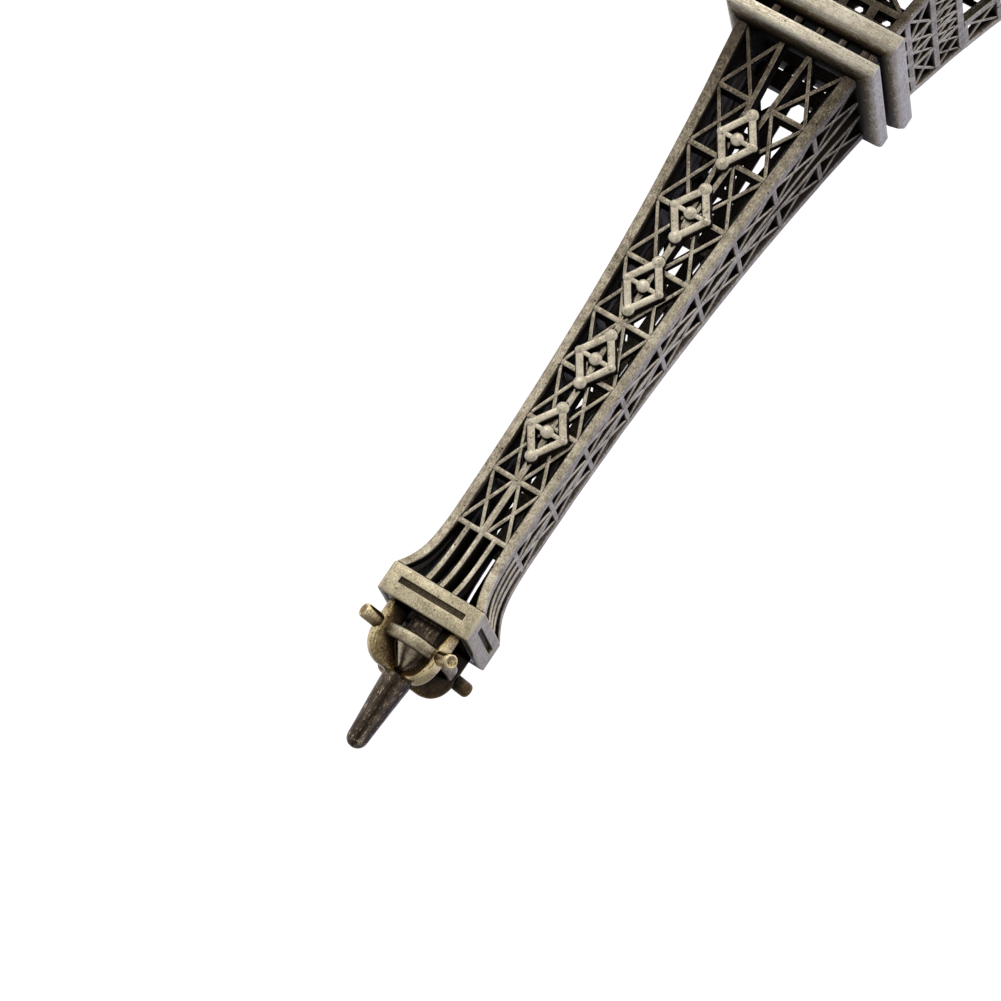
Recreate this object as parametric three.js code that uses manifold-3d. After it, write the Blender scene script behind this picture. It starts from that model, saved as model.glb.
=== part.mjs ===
// Miniature lattice tower: a free-standing souvenir of cast metal, put together from lattice
// panels, floor slabs, corner legs, arches and a cupola with a mast.
// Millimetres, +Z up. The origin lies under the middle of the tower, on the surface it stands on.
// The face with the raised ornaments is the front and looks along -Y.

import * as THREE from 'three';
import { mergeVertices } from 'three/addons/utils/BufferGeometryUtils.js';
import Module from 'manifold-3d';

const wasm = await Module();
wasm.setup();

// ---------- Driving dimensions ----------

// Between neighbouring pieces, and how far a cutter reaches past what it cuts.
const GAP = 0.3;
const REACH = 60;
const OVERCUT = 1;

// How many flats a full turn has on each round body, and how many an arc in an outline has.
const FLATS = { hoop: 24, mast: 16, beacon: 12, bead: 10 };
const ARC_FLATS = { passage: 24, slot: 1, rib: 6 };

// Feet and lower legs. A leg is a square tube between a near and a far distance from each
// centre plane; both shrink as it leans inwards.
const FOOT = { near: 27.4, far: 48.6, height: 4.2, chamfer: 0.8 };
const LOWER_LEG = {
  bottom: FOOT.height + GAP, top: 36.1, bays: 2, bends: 1,
  nearTop: 16.3, nearSlope: 0.403, farTop: 29.1, farSlope: 0.5475,
};
const LEG_WALL = 1.5;
const LEG_CHORD = 1.9;

// Arches between the lower legs, lying in the leaning outer faces.
const ARCH = { centre: 5.5, radius: 25, band: 3, rail: 2.2, wall: 1.8 };
const ARCH_SLOTS = { count: 9, sweep: 0.6 * Math.PI, share: 0.64, inner: 0.8, outer: 2.2 };
const SPANDRELS = [[9.2, 11.1], [12.1, 14]];

// First floor: lower slab, gallery wall of small openings, upper slab.
const FIRST = {
  slabBottom: 36.4, fasciaTop: 39.6, wallBottom: 40.6, wallTop: 43, upperFascia: 45.7, deck: 46.6,
  lowerHalf: 31.2, lowerInner: 28.9, upperHalf: 29.4, upperInner: 26.4, wallHalf: 28.6,
  wellHalf: 12, openings: 11,
};

// Middle legs and the lattice bands above them, below the second floor.
const MIDDLE = {
  top: 83.1, bottom: FIRST.deck + GAP, half: 15.3, slope: 0.195, spread: 85,
  bandBottom: 65.1, nearLow: 0.53, nearHigh: 0.4, wall: 2, chord: 2, bays: 2,
  bends: 2, bandBends: 3,
};
const WINDOW = { count: 5, pitch: 6, width: 3.9, reach: 13.2, bottom: 80.3, top: 82.2 };
const BAND_ROWS = [
  { bottom: 73.5, top: 78.6 },
  { bottom: 66.7, top: 71.9 },
];
const BAND_SPLIT = 0.35;

// Second floor, built as the first.
const SECOND = {
  slabBottom: 83.4, fasciaTop: 86.9, wallBottom: 88.3, wallTop: 90.1, upperFascia: 92.95, deck: 94,
  lowerHalf: 17.9, lowerInner: 15.6, upperHalf: 16.5, upperInner: 13.5, wallHalf: 15.1,
  wellHalf: 11, openings: 5,
};
const GALLERY = { wall: 1.2, rail: 0.35, pitch: 4.93, post: 1.4 };

// Upper shaft: nine bays, each a little shorter than the one below, then a flared neck.
const SHAFT = {
  foot: SECOND.deck + GAP, top: 204, neck: 7.22, spread: 6.1, power: 2.15,
  bays: 9, bayStep: 0.09, wall: 2.2, chord: 2.2, bar: 1.1, brace: 0.85, slitBays: 3,
};
const FLARE = { bottom: 198, top: 216.9, grow: 2.5, power: 4.3, steps: 5, barPitch: 2.95, barWidth: 1 };
const SPINE = { half: 0.65, split: 144, footOffset: 3, power: 1.3, chordHalf: 0.55 };

// Raised ornaments on the front of the shaft: pierced lozenges with a boss and beads.
const ORNAMENT = {
  count: 5, first: 114.9, pitch: 16.68, height: 13.4, width: 9, depth: 1.5,
  stroke: 1.5, boss: 1.35, bead: 1.35, sideBead: 0.9, bar: 1,
};

// Gallery box at the top of the shaft.
const BOX = { bottom: 217.2, top: 223.5, half: 10.2, wall: 1.5 };
const SLOT = { width: 14.5, bottom: 219.45, top: 220.75, depth: 1 };
const DECK = { bottom: 221.6, top: 223.4 };

// Cupola: drum and disc, ring, four ribs, four beacons and the mast.
const DRUM = {
  half: 3.2, discRadius: 7, discBottom: 226.8, discTop: 228.3,
  coneRadius: 4.2, tipRadius: 1.4, tip: 232.2,
};
const RING = { inner: 7.5, outer: 8.6, bottom: 226.8, top: 229.6 };
const RIB = {
  outer: 10.3, postInner: 5.8, shoulder: 229.5, shoulderCentre: 5.05, top: 234.8,
  hub: 1.6, throat: 4.8, thickness: 2.7,
};
const BEACON = { radius: 1.5, start: RIB.outer + GAP, end: 14, height: 228.3, nose: 0.9 };
const MAST = { bottom: 232.5, top: 250, baseRadius: 3.05, tipRadius: 2.1, tipSteps: 4 };

// ---------- Finishes ----------

const FINISHES = {
  brass: { color: 0xb3a77e, roughness: 0.42, metalness: 0.9 },
  floor_brass: { color: 0xa89a6c, roughness: 0.45, metalness: 0.9 },
  dark_bronze: { color: 0x4a3d2b, roughness: 0.4, metalness: 0.9 },
  gilt_bronze: { color: 0x8d7340, roughness: 0.38, metalness: 0.9 },
};

// ---------- Solids ----------

function solid(geometry) {
  geometry.deleteAttribute('normal');
  geometry.deleteAttribute('uv');
  const merged = mergeVertices(geometry, 1e-4);
  return new wasm.Manifold(new wasm.Mesh({
    numProp: 3,
    vertProperties: new Float32Array(merged.attributes.position.array),
    triVerts: new Uint32Array(merged.index.array),
  }));
}

function cut(body, cutters) {
  return cutters.reduce((left, cutter) => left.subtract(cutter), body);
}

function rectangle(x0, x1, y0, y1) {
  return [
    new THREE.Vector2(x0, y0),
    new THREE.Vector2(x1, y0),
    new THREE.Vector2(x1, y1),
    new THREE.Vector2(x0, y1),
  ];
}

// A body whose section at each level is the rectangle x0..x1, y0..y1.
function loft(levels) {
  const last = levels.length - 1;
  const geometry = new THREE.BoxGeometry(2, 2, last, 1, 1, last);
  const points = geometry.attributes.position;
  for (let i = 0; i < points.count; i += 1) {
    const level = levels[Math.round(points.getZ(i) + last / 2)];
    const x = points.getX(i) > 0 ? level.x1 : level.x0;
    const y = points.getY(i) > 0 ? level.y1 : level.y0;
    points.setXYZ(i, x, y, level.z);
  }
  return solid(geometry);
}

function square(z, half) {
  return { z, x0: -half, x1: half, y0: -half, y1: half };
}

function block(x0, x1, y0, y1, z0, z1) {
  return loft([{ z: z0, x0, x1, y0, y1 }, { z: z1, x0, x1, y0, y1 }]);
}

// The same levels, drawn in by a wall and run past both ends, to hollow a loft out.
function bore(levels, wall) {
  const inner = levels.map((level) => ({
    z: level.z,
    x0: level.x0 + wall,
    x1: level.x1 - wall,
    y0: level.y0 + wall,
    y1: level.y1 - wall,
  }));
  inner.unshift({ ...inner[0], z: inner[0].z - OVERCUT });
  inner.push({ ...inner[inner.length - 1], z: inner[inner.length - 1].z + OVERCUT });
  return inner;
}

function tube(levels, wall) {
  return loft(levels).subtract(loft(bore(levels, wall)));
}

function extruded(outline, depth) {
  return new THREE.ExtrudeGeometry(new THREE.Shape(outline), { depth, bevelEnabled: false });
}

// A prism through the front wall, from an outline in X and Z.
function frontPrism(outline) {
  return solid(extruded(outline, REACH).rotateX(Math.PI / 2));
}

// The same prism through the left wall, where the outline's X is measured along Y.
function leftPrism(outline) {
  const prism = extruded(outline, REACH).rotateX(Math.PI / 2).rotateZ(Math.PI / 2);
  return solid(prism.translate(-REACH, 0, 0));
}

// What belongs to the front of a square tube: the quarter in front of both diagonals.
function frontQuarter(bottom, top) {
  const start = -GAP / Math.SQRT2;
  const outline = [
    new THREE.Vector2(0, start),
    new THREE.Vector2(-REACH, start - REACH),
    new THREE.Vector2(REACH, start - REACH),
  ];
  const quarter = extruded(outline, top - bottom + 2 * OVERCUT);
  return solid(quarter.translate(0, 0, bottom - OVERCUT));
}

// ---------- Lattice openings ----------

function meeting(one, other) {
  const reach = other.point.clone().sub(one.point).cross(other.along) / one.along.cross(other.along);
  return one.point.clone().addScaledVector(one.along, reach);
}

// Moves each side of an anticlockwise triangle inwards by its own distance.
function inset(triangle, distances) {
  const sides = triangle.map((point, i) => {
    const along = triangle[(i + 1) % 3].clone().sub(point).normalize();
    const inward = new THREE.Vector2(-along.y, along.x);
    return { point: point.clone().addScaledVector(inward, distances[i]), along };
  });
  return sides.map((side, i) => meeting(sides[(i + 2) % 3], side));
}

// The four triangles that a crossed pair of braces leaves in a four-cornered cell.
function crossOpenings(corners, brace) {
  const [a, b, c, d] = corners;
  const centre = meeting(
    { point: a, along: c.clone().sub(a).normalize() },
    { point: b, along: d.clone().sub(b).normalize() },
  );
  const half = brace / 2;
  return corners.map((corner, i) => inset([corner, corners[(i + 1) % 4], centre], [0, half, half]));
}

function mirrored(outline) {
  return outline.map((point) => new THREE.Vector2(-point.x, point.y)).reverse();
}

function bothSides(outlines) {
  return outlines.concat(outlines.map(mirrored));
}

// A cell between two edges, each a function of height.
function cell(bottom, top, innerEdge, outerEdge) {
  return [
    new THREE.Vector2(innerEdge(bottom), bottom),
    new THREE.Vector2(outerEdge(bottom), bottom),
    new THREE.Vector2(outerEdge(top), top),
    new THREE.Vector2(innerEdge(top), top),
  ];
}

// ---------- Outline of the tower: half width at each height ----------

function shaftHalf(z) {
  const fromTop = Math.max(0, (SHAFT.top - z) / (SHAFT.top - SECOND.deck));
  const intoFlare = Math.max(0, (z - FLARE.bottom) / (FLARE.top - FLARE.bottom));
  return SHAFT.neck + SHAFT.spread * fromTop ** SHAFT.power + FLARE.grow * intoFlare ** FLARE.power;
}

function shaftLevel(i) {
  const height = SHAFT.top - SECOND.deck;
  const firstBay = (height + SHAFT.bayStep * SHAFT.bays * (SHAFT.bays - 1) / 2) / SHAFT.bays;
  return SECOND.deck + i * firstBay - SHAFT.bayStep * i * (i - 1) / 2;
}

function middleHalf(z) {
  const down = MIDDLE.top - z;
  return MIDDLE.half + MIDDLE.slope * down * (1 + (down / MIDDLE.spread) ** 2);
}

function middleNear(z) {
  const up = (z - FIRST.deck) / (MIDDLE.bandBottom - FIRST.deck);
  return middleHalf(z) * THREE.MathUtils.lerp(MIDDLE.nearLow, MIDDLE.nearHigh, up);
}

function lowerNear(z) {
  return LOWER_LEG.nearTop + LOWER_LEG.nearSlope * (LOWER_LEG.top - z);
}

function lowerFar(z) {
  return LOWER_LEG.farTop + LOWER_LEG.farSlope * (LOWER_LEG.top - z);
}

// ---------- Scene ----------

const tower = new THREE.Group();

function add(name, body, finish, turn = 0) {
  const mesh = body.getMesh();
  const geometry = new THREE.BufferGeometry();
  geometry.setAttribute('position', new THREE.BufferAttribute(new Float32Array(mesh.vertProperties), 3));
  geometry.setIndex(new THREE.BufferAttribute(new Uint32Array(mesh.triVerts), 1));
  geometry.computeVertexNormals();
  const material = new THREE.MeshStandardMaterial({ ...FINISHES[finish], flatShading: true });
  const piece = new THREE.Mesh(geometry, material);
  piece.name = name;
  piece.rotation.z = turn;
  tower.add(piece);
  return piece;
}

// The four sides and the four corners, each as a quarter turn from the front or front left.
const SIDES = [['front', 0], ['right', 1], ['back', 2], ['left', 3]];
const CORNERS = [['front_left', 0], ['front_right', 1], ['back_right', 2], ['back_left', 3]];
const QUARTER = Math.PI / 2;
const TO_FRONT_LEFT = -3 * Math.PI / 4;

function addFour(places, stem, body, finish) {
  for (const [place, quarters] of places) {
    add(`${stem}_${place}`, body, finish, quarters * QUARTER);
  }
}

// ---------- Corner legs ----------

// A hollow square leg at the front left corner, with crossed braces on all four of its faces.
function cornerLeg(bottom, top, near, far, bays, bends) {
  const levels = [];
  for (let i = 0; i <= bends; i += 1) {
    const z = THREE.MathUtils.lerp(bottom, top, i / bends);
    levels.push({ z, x0: -far(z), x1: -near(z), y0: -far(z), y1: -near(z) });
  }
  let leg = tube(levels, LEG_WALL);
  const bay = (top - bottom) / bays;
  for (let i = 0; i < bays; i += 1) {
    const corners = cell(
      bottom + i * bay + SHAFT.bar,
      bottom + (i + 1) * bay - SHAFT.bar / 2,
      (z) => -far(z) + LEG_CHORD,
      (z) => -near(z) - LEG_CHORD,
    );
    for (const opening of crossOpenings(corners, SHAFT.bar)) {
      leg = leg.subtract(frontPrism(opening)).subtract(leftPrism(opening));
    }
  }
  return leg;
}

function addFeet() {
  const shoulder = { x0: -FOOT.far, x1: -FOOT.near, y0: -FOOT.far, y1: -FOOT.near };
  const crown = {
    x0: -FOOT.far + FOOT.chamfer,
    x1: -FOOT.near - FOOT.chamfer,
    y0: -FOOT.far + FOOT.chamfer,
    y1: -FOOT.near - FOOT.chamfer,
  };
  const foot = loft([
    { ...shoulder, z: 0 },
    { ...shoulder, z: FOOT.height - FOOT.chamfer },
    { ...crown, z: FOOT.height },
  ]);
  addFour(CORNERS, 'foot', foot, 'floor_brass');
}

function addLegs() {
  const { bottom, top, bays, bends } = LOWER_LEG;
  const lower = cornerLeg(bottom, top, lowerNear, lowerFar, bays, bends);
  addFour(CORNERS, 'lower_leg', lower, 'brass');
  const legTop = MIDDLE.bandBottom - GAP;
  const middle = cornerLeg(MIDDLE.bottom, legTop, middleNear, middleHalf, MIDDLE.bays, MIDDLE.bends);
  addFour(CORNERS, 'middle_leg', middle, 'brass');
}

// ---------- Arches ----------

function arc(radius, from, to, steps) {
  const points = [];
  for (let i = 0; i <= steps; i += 1) {
    const angle = THREE.MathUtils.lerp(from, to, i / steps);
    points.push(new THREE.Vector2(radius * Math.cos(angle), ARCH.centre + radius * Math.sin(angle)));
  }
  return points;
}

// The web between two legs above the arch, pierced by a ring of slots and by the spandrels.
function addArches() {
  const bottom = LOWER_LEG.bottom;
  const top = LOWER_LEG.top;
  const levels = [square(bottom, lowerFar(bottom)), square(top, lowerFar(top))];
  const legEdge = (z) => lowerNear(z) - GAP;
  const between = cell(bottom - OVERCUT, top + OVERCUT, (z) => -legEdge(z), legEdge);
  const passage = arc(ARCH.radius, 0, Math.PI, ARC_FLATS.passage);
  passage.push(new THREE.Vector2(-ARCH.radius, -OVERCUT), new THREE.Vector2(ARCH.radius, -OVERCUT));
  let web = tube(levels, ARCH.wall).intersect(frontPrism(between));
  web = web.subtract(frontPrism(passage));

  const slotPitch = ARCH_SLOTS.sweep / ARCH_SLOTS.count;
  const slotHalf = slotPitch * ARCH_SLOTS.share / 2;
  for (let i = 0; i < ARCH_SLOTS.count; i += 1) {
    const middle = Math.PI / 2 + (i - (ARCH_SLOTS.count - 1) / 2) * slotPitch;
    const from = middle - slotHalf;
    const to = middle + slotHalf;
    const inside = arc(ARCH.radius + ARCH_SLOTS.inner, from, to, ARC_FLATS.slot);
    const outside = arc(ARCH.radius + ARCH_SLOTS.outer, to, from, ARC_FLATS.slot);
    web = web.subtract(frontPrism(inside.concat(outside)));
  }

  const railBottom = top - ARCH.rail;
  const bandTop = (x) => ARCH.centre + Math.sqrt((ARCH.radius + ARCH.band) ** 2 - x ** 2);
  for (const [inner, outer] of SPANDRELS) {
    const opening = [
      new THREE.Vector2(inner, bandTop(inner)),
      new THREE.Vector2(outer, bandTop(outer)),
      new THREE.Vector2(outer, railBottom),
      new THREE.Vector2(inner, railBottom),
    ];
    web = cut(web, bothSides([opening]).map(frontPrism));
  }
  addFour(SIDES, 'arch', web, 'brass');
}

// ---------- Floors ----------

function addFloor(stem, floor) {
  const lower = loft([
    square(floor.slabBottom, floor.lowerHalf),
    square(floor.fasciaTop, floor.lowerHalf),
    square(floor.wallBottom, floor.lowerInner),
  ]);
  const upper = loft([
    square(floor.wallTop, floor.upperHalf),
    square(floor.upperFascia, floor.upperHalf),
    square(floor.deck, floor.upperInner),
  ]);
  const bottomCut = floor.slabBottom - OVERCUT;
  const well = loft([square(bottomCut, floor.wellHalf), square(floor.deck + OVERCUT, floor.wellHalf)]);
  add(`${stem}_lower_slab`, lower.subtract(well), 'floor_brass');
  add(`${stem}_upper_slab`, upper.subtract(well), 'floor_brass');

  const bottom = floor.wallBottom + GAP / 2;
  const top = floor.wallTop - GAP / 2;
  const levels = [square(bottom, floor.wallHalf), square(top, floor.wallHalf)];
  let wall = tube(levels, GALLERY.wall).intersect(frontQuarter(bottom, top));
  const half = (GALLERY.pitch - GALLERY.post) / 2;
  for (let i = 0; i < floor.openings; i += 1) {
    const middle = (i - (floor.openings - 1) / 2) * GALLERY.pitch;
    wall = wall.subtract(frontPrism(
      rectangle(middle - half, middle + half, bottom + GALLERY.rail, top - GALLERY.rail),
    ));
  }
  addFour(SIDES, `${stem}_gallery`, wall, 'dark_bronze');
}

// ---------- Middle lattice bands ----------

function addMiddleBands() {
  const levels = [];
  for (let i = 0; i <= MIDDLE.bandBends; i += 1) {
    const z = THREE.MathUtils.lerp(MIDDLE.bandBottom, MIDDLE.top, i / MIDDLE.bandBends);
    levels.push(square(z, middleHalf(z)));
  }
  let band = tube(levels, MIDDLE.wall).intersect(frontQuarter(MIDDLE.bandBottom, MIDDLE.top));
  for (let i = 0; i < WINDOW.count; i += 1) {
    const middle = (i - (WINDOW.count - 1) / 2) * WINDOW.pitch;
    const half = WINDOW.width / 2;
    const left = Math.max(middle - half, -WINDOW.reach);
    const right = Math.min(middle + half, WINDOW.reach);
    band = band.subtract(frontPrism(rectangle(left, right, WINDOW.bottom, WINDOW.top)));
  }
  const inner = () => SPINE.chordHalf;
  const split = (z) => middleHalf(z) * BAND_SPLIT;
  const outer = (z) => middleHalf(z) - MIDDLE.chord;
  for (const row of BAND_ROWS) {
    const openings = [
      ...crossOpenings(cell(row.bottom, row.top, inner, (z) => split(z) - SPINE.chordHalf), SHAFT.brace),
      ...crossOpenings(cell(row.bottom, row.top, (z) => split(z) + SPINE.chordHalf, outer), SHAFT.brace),
    ];
    band = cut(band, bothSides(openings).map(frontPrism));
  }
  addFour(SIDES, 'middle_band', band, 'brass');
}

// ---------- Upper shaft ----------

function spineEdge(z) {
  const down = Math.max(0, (SPINE.split - z) / (SPINE.split - SECOND.deck));
  return Math.max(SPINE.half, SPINE.footOffset * down ** SPINE.power + SPINE.chordHalf);
}

function addShaft() {
  const levels = [square(SHAFT.foot, shaftHalf(SHAFT.foot))];
  for (let i = 1; i <= SHAFT.bays; i += 1) {
    levels.push(square(shaftLevel(i), shaftHalf(shaftLevel(i))));
  }
  for (let i = 2; i <= FLARE.steps; i += 1) {
    const z = THREE.MathUtils.lerp(SHAFT.top, FLARE.top, i / FLARE.steps);
    levels.push(square(z, shaftHalf(z)));
  }
  let panel = tube(levels, SHAFT.wall).intersect(frontQuarter(SHAFT.foot, FLARE.top));

  const outer = (z) => shaftHalf(z) - SHAFT.chord;
  for (let i = 0; i < SHAFT.bays; i += 1) {
    const bottom = shaftLevel(i) + (i === 0 ? SHAFT.bar + GAP : SHAFT.bar / 2);
    const top = shaftLevel(i + 1) - SHAFT.bar / 2;
    const openings = crossOpenings(cell(bottom, top, spineEdge, outer), SHAFT.brace);
    panel = cut(panel, bothSides(openings).map(frontPrism));
  }

  const slitBottom = SHAFT.foot + SHAFT.bar;
  const slitHalf = SPINE.footOffset - SPINE.chordHalf;
  const slit = [
    new THREE.Vector2(-slitHalf, slitBottom),
    new THREE.Vector2(slitHalf, slitBottom),
    new THREE.Vector2(0, shaftLevel(SHAFT.slitBays)),
  ];
  panel = panel.subtract(frontPrism(slit));

  const neckBottom = SHAFT.top + SHAFT.bar / 2;
  const neckTop = FLARE.top - SHAFT.bar;
  const barHalf = FLARE.barWidth / 2;
  const slots = [
    rectangle(barHalf, FLARE.barPitch - barHalf, neckBottom, neckTop),
    cell(neckBottom, neckTop, () => FLARE.barPitch + barHalf, outer),
  ];
  panel = cut(panel, bothSides(slots).map(frontPrism));
  addFour(SIDES, 'shaft_panel', panel, 'brass');
}

// ---------- Ornaments ----------

function lozenge(halfWidth, halfHeight) {
  return [
    new THREE.Vector2(halfWidth, 0),
    new THREE.Vector2(0, halfHeight),
    new THREE.Vector2(-halfWidth, 0),
    new THREE.Vector2(0, -halfHeight),
  ];
}

// A pierced lozenge with a boss in the middle, held by a bar across, and beads at its corners.
function ornamentBody() {
  const { width, height, depth, stroke, boss, bead, sideBead, bar } = ORNAMENT;
  const halfWidth = width / 2 - sideBead;
  const halfHeight = height / 2 - bead;
  const side = Math.hypot(halfWidth, halfHeight);
  const frame = (grow) => lozenge(halfWidth + grow * side / halfHeight, halfHeight + grow * side / halfWidth);
  const opening = extruded(frame(-stroke / 2), depth + 2 * OVERCUT).translate(0, 0, -OVERCUT);
  let ornament = solid(extruded(frame(stroke / 2), depth)).subtract(solid(opening));
  const reach = halfWidth - sideBead;
  ornament = ornament.add(solid(extruded(rectangle(-reach, reach, -bar / 2, bar / 2), depth)));
  const discs = [
    { radius: boss, x: 0, y: 0 },
    { radius: bead, x: 0, y: halfHeight },
    { radius: bead, x: 0, y: -halfHeight },
    { radius: sideBead, x: halfWidth, y: 0 },
    { radius: sideBead, x: -halfWidth, y: 0 },
  ];
  for (const { radius, x, y } of discs) {
    const disc = new THREE.CylinderGeometry(radius, radius, depth, FLATS.bead);
    ornament = ornament.add(solid(disc.rotateX(Math.PI / 2).translate(x, y, depth / 2)));
  }
  return ornament;
}

function addOrnaments() {
  const body = ornamentBody();
  for (let i = 0; i < ORNAMENT.count; i += 1) {
    const middle = ORNAMENT.first + i * ORNAMENT.pitch;
    const low = shaftHalf(middle - ORNAMENT.height / 2);
    const high = shaftHalf(middle + ORNAMENT.height / 2);
    const piece = add(`ornament_${i + 1}`, body, 'brass');
    piece.position.set(0, -(low + high) / 2 - GAP, middle);
    piece.rotation.set(Math.PI / 2 - Math.atan2(low - high, ORNAMENT.height), 0, 0);
  }
}

// ---------- Gallery box ----------

function addBox() {
  const levels = [square(BOX.bottom, BOX.half), square(BOX.top, BOX.half)];
  let box = tube(levels, BOX.wall);
  const half = SLOT.width / 2;
  for (const side of [-1, 1]) {
    const inner = side * (BOX.half - SLOT.depth);
    const outer = side * (BOX.half + OVERCUT);
    const near = Math.min(inner, outer);
    const far = Math.max(inner, outer);
    box = box.subtract(block(-half, half, near, far, SLOT.bottom, SLOT.top));
    box = box.subtract(block(near, far, -half, half, SLOT.bottom, SLOT.top));
  }
  add('gallery_box', box, 'brass');
  const deckHalf = BOX.half - BOX.wall - GAP;
  add('gallery_deck', loft([square(DECK.bottom, deckHalf), square(DECK.top, deckHalf)]), 'dark_bronze');
}

// ---------- Cupola ----------

function turned(profile, segments) {
  const geometry = new THREE.LatheGeometry(profile.map(([r, z]) => new THREE.Vector2(r, z)), segments);
  geometry.rotateX(Math.PI / 2);
  return geometry;
}

function hoop(inner, outer, bottom, top) {
  const section = [[inner, bottom], [outer, bottom], [outer, top], [inner, top], [inner, bottom]];
  return solid(turned(section, FLATS.hoop));
}

// A post on the deck and a quarter arch up to the mast in one plate, notched for the ring.
function ribBody() {
  const bottom = DECK.top + GAP;
  const hub = MAST.baseRadius + GAP;
  const shape = new THREE.Shape();
  shape.moveTo(RIB.postInner, bottom);
  shape.lineTo(RIB.outer, bottom);
  shape.lineTo(RIB.outer, RIB.shoulder);
  shape.absarc(RIB.shoulderCentre, RIB.shoulder, RIB.outer - RIB.shoulderCentre, 0, Math.PI / 2, false);
  shape.lineTo(hub, RIB.top);
  shape.lineTo(hub, RIB.top - RIB.hub);
  shape.lineTo(RIB.throat, RING.top + GAP);
  shape.lineTo(RIB.postInner, RING.bottom);
  const settings = { depth: RIB.thickness, bevelEnabled: false, curveSegments: ARC_FLATS.rib };
  const plate = new THREE.ExtrudeGeometry(shape, settings);
  plate.translate(0, 0, -RIB.thickness / 2).rotateX(Math.PI / 2).rotateZ(TO_FRONT_LEFT);
  const notch = hoop(RING.inner - GAP, RING.outer + GAP, RING.bottom - GAP, RING.top + GAP);
  return solid(plate).subtract(notch);
}

// A square core under a disc that is slotted for the four ribs and rises to a blunt cone.
function drumBody() {
  const disc = solid(turned([
    [0, DRUM.discBottom],
    [DRUM.discRadius, DRUM.discBottom],
    [DRUM.discRadius, DRUM.discTop],
    [DRUM.coneRadius, DRUM.discTop],
    [DRUM.tipRadius, DRUM.tip],
    [0, DRUM.tip],
  ], FLATS.hoop));
  const core = loft([square(DECK.top + GAP, DRUM.half), square(DRUM.discTop - GAP, DRUM.half)]);
  let drum = core.add(disc);
  const slotHalf = RIB.thickness / 2 + GAP;
  const outline = rectangle(RIB.throat - GAP, RIB.outer, -slotHalf, slotHalf);
  for (const [, quarters] of CORNERS) {
    const slot = extruded(outline, DRUM.discTop - DRUM.discBottom + 2 * OVERCUT);
    slot.translate(0, 0, DRUM.discBottom - OVERCUT).rotateZ(TO_FRONT_LEFT + quarters * QUARTER);
    drum = drum.subtract(solid(slot));
  }
  return drum;
}

function beaconBody() {
  const stub = turned([
    [0, BEACON.start],
    [BEACON.radius, BEACON.start],
    [BEACON.radius, BEACON.end - BEACON.nose],
    [BEACON.radius - BEACON.nose / 2, BEACON.end],
    [0, BEACON.end],
  ], FLATS.beacon);
  return solid(stub.rotateY(Math.PI / 2).translate(0, 0, BEACON.height).rotateZ(TO_FRONT_LEFT));
}

function mastBody() {
  const profile = [
    [0, MAST.bottom],
    [MAST.baseRadius, MAST.bottom],
    [MAST.baseRadius, RIB.top],
  ];
  for (let i = 0; i <= MAST.tipSteps; i += 1) {
    const angle = QUARTER * i / MAST.tipSteps;
    const radius = i < MAST.tipSteps ? MAST.tipRadius * Math.cos(angle) : 0;
    profile.push([radius, MAST.top - MAST.tipRadius * (1 - Math.sin(angle))]);
  }
  return solid(turned(profile, FLATS.mast));
}

function addCupola() {
  addFour(CORNERS, 'cupola_rib', ribBody(), 'gilt_bronze');
  add('cupola_ring', hoop(RING.inner, RING.outer, RING.bottom, RING.top), 'brass');
  add('cupola_drum', drumBody(), 'dark_bronze');
  addFour(CORNERS, 'beacon', beaconBody(), 'gilt_bronze');
  add('antenna_mast', mastBody(), 'dark_bronze');
}

addFeet();
addLegs();
addArches();
addFloor('first_floor', FIRST);
addMiddleBands();
addFloor('second_floor', SECOND);
addShaft();
addOrnaments();
addBox();
addCupola();

export default tower;
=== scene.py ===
import math

import bmesh
import bpy
from mathutils import Matrix, Vector, noise


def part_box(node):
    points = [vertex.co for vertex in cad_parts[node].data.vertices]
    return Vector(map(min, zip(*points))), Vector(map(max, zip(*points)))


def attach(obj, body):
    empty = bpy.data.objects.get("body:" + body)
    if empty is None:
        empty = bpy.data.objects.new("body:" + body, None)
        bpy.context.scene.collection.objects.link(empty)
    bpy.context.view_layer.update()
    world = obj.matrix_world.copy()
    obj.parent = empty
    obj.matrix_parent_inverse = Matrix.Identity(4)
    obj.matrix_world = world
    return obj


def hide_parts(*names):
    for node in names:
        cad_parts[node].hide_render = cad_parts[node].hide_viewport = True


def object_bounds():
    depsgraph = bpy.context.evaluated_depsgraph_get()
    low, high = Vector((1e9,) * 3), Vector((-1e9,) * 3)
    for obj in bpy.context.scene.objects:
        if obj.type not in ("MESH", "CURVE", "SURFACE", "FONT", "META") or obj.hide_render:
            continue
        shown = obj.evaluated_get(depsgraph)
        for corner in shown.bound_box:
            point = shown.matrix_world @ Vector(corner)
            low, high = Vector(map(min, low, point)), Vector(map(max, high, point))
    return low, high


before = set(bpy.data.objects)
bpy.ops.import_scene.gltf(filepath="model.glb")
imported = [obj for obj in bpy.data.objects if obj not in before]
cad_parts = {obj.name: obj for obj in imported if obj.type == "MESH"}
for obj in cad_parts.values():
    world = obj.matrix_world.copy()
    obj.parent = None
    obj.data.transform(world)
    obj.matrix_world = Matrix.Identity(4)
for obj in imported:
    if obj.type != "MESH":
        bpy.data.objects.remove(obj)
cad_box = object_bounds()

MM = 0.001
SIDES = ("front", "right", "back", "left")
CORNERS = ("front_left", "front_right", "back_right", "back_left")
# The front and back walls of a square tube carry its corner bars.
WITH_CORNER_BARS = ("front", "back")
TO_FRONT_LEFT = -3 * math.pi / 4

# ---------- The tower's outline, in metres: half width at each height ----------

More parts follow.
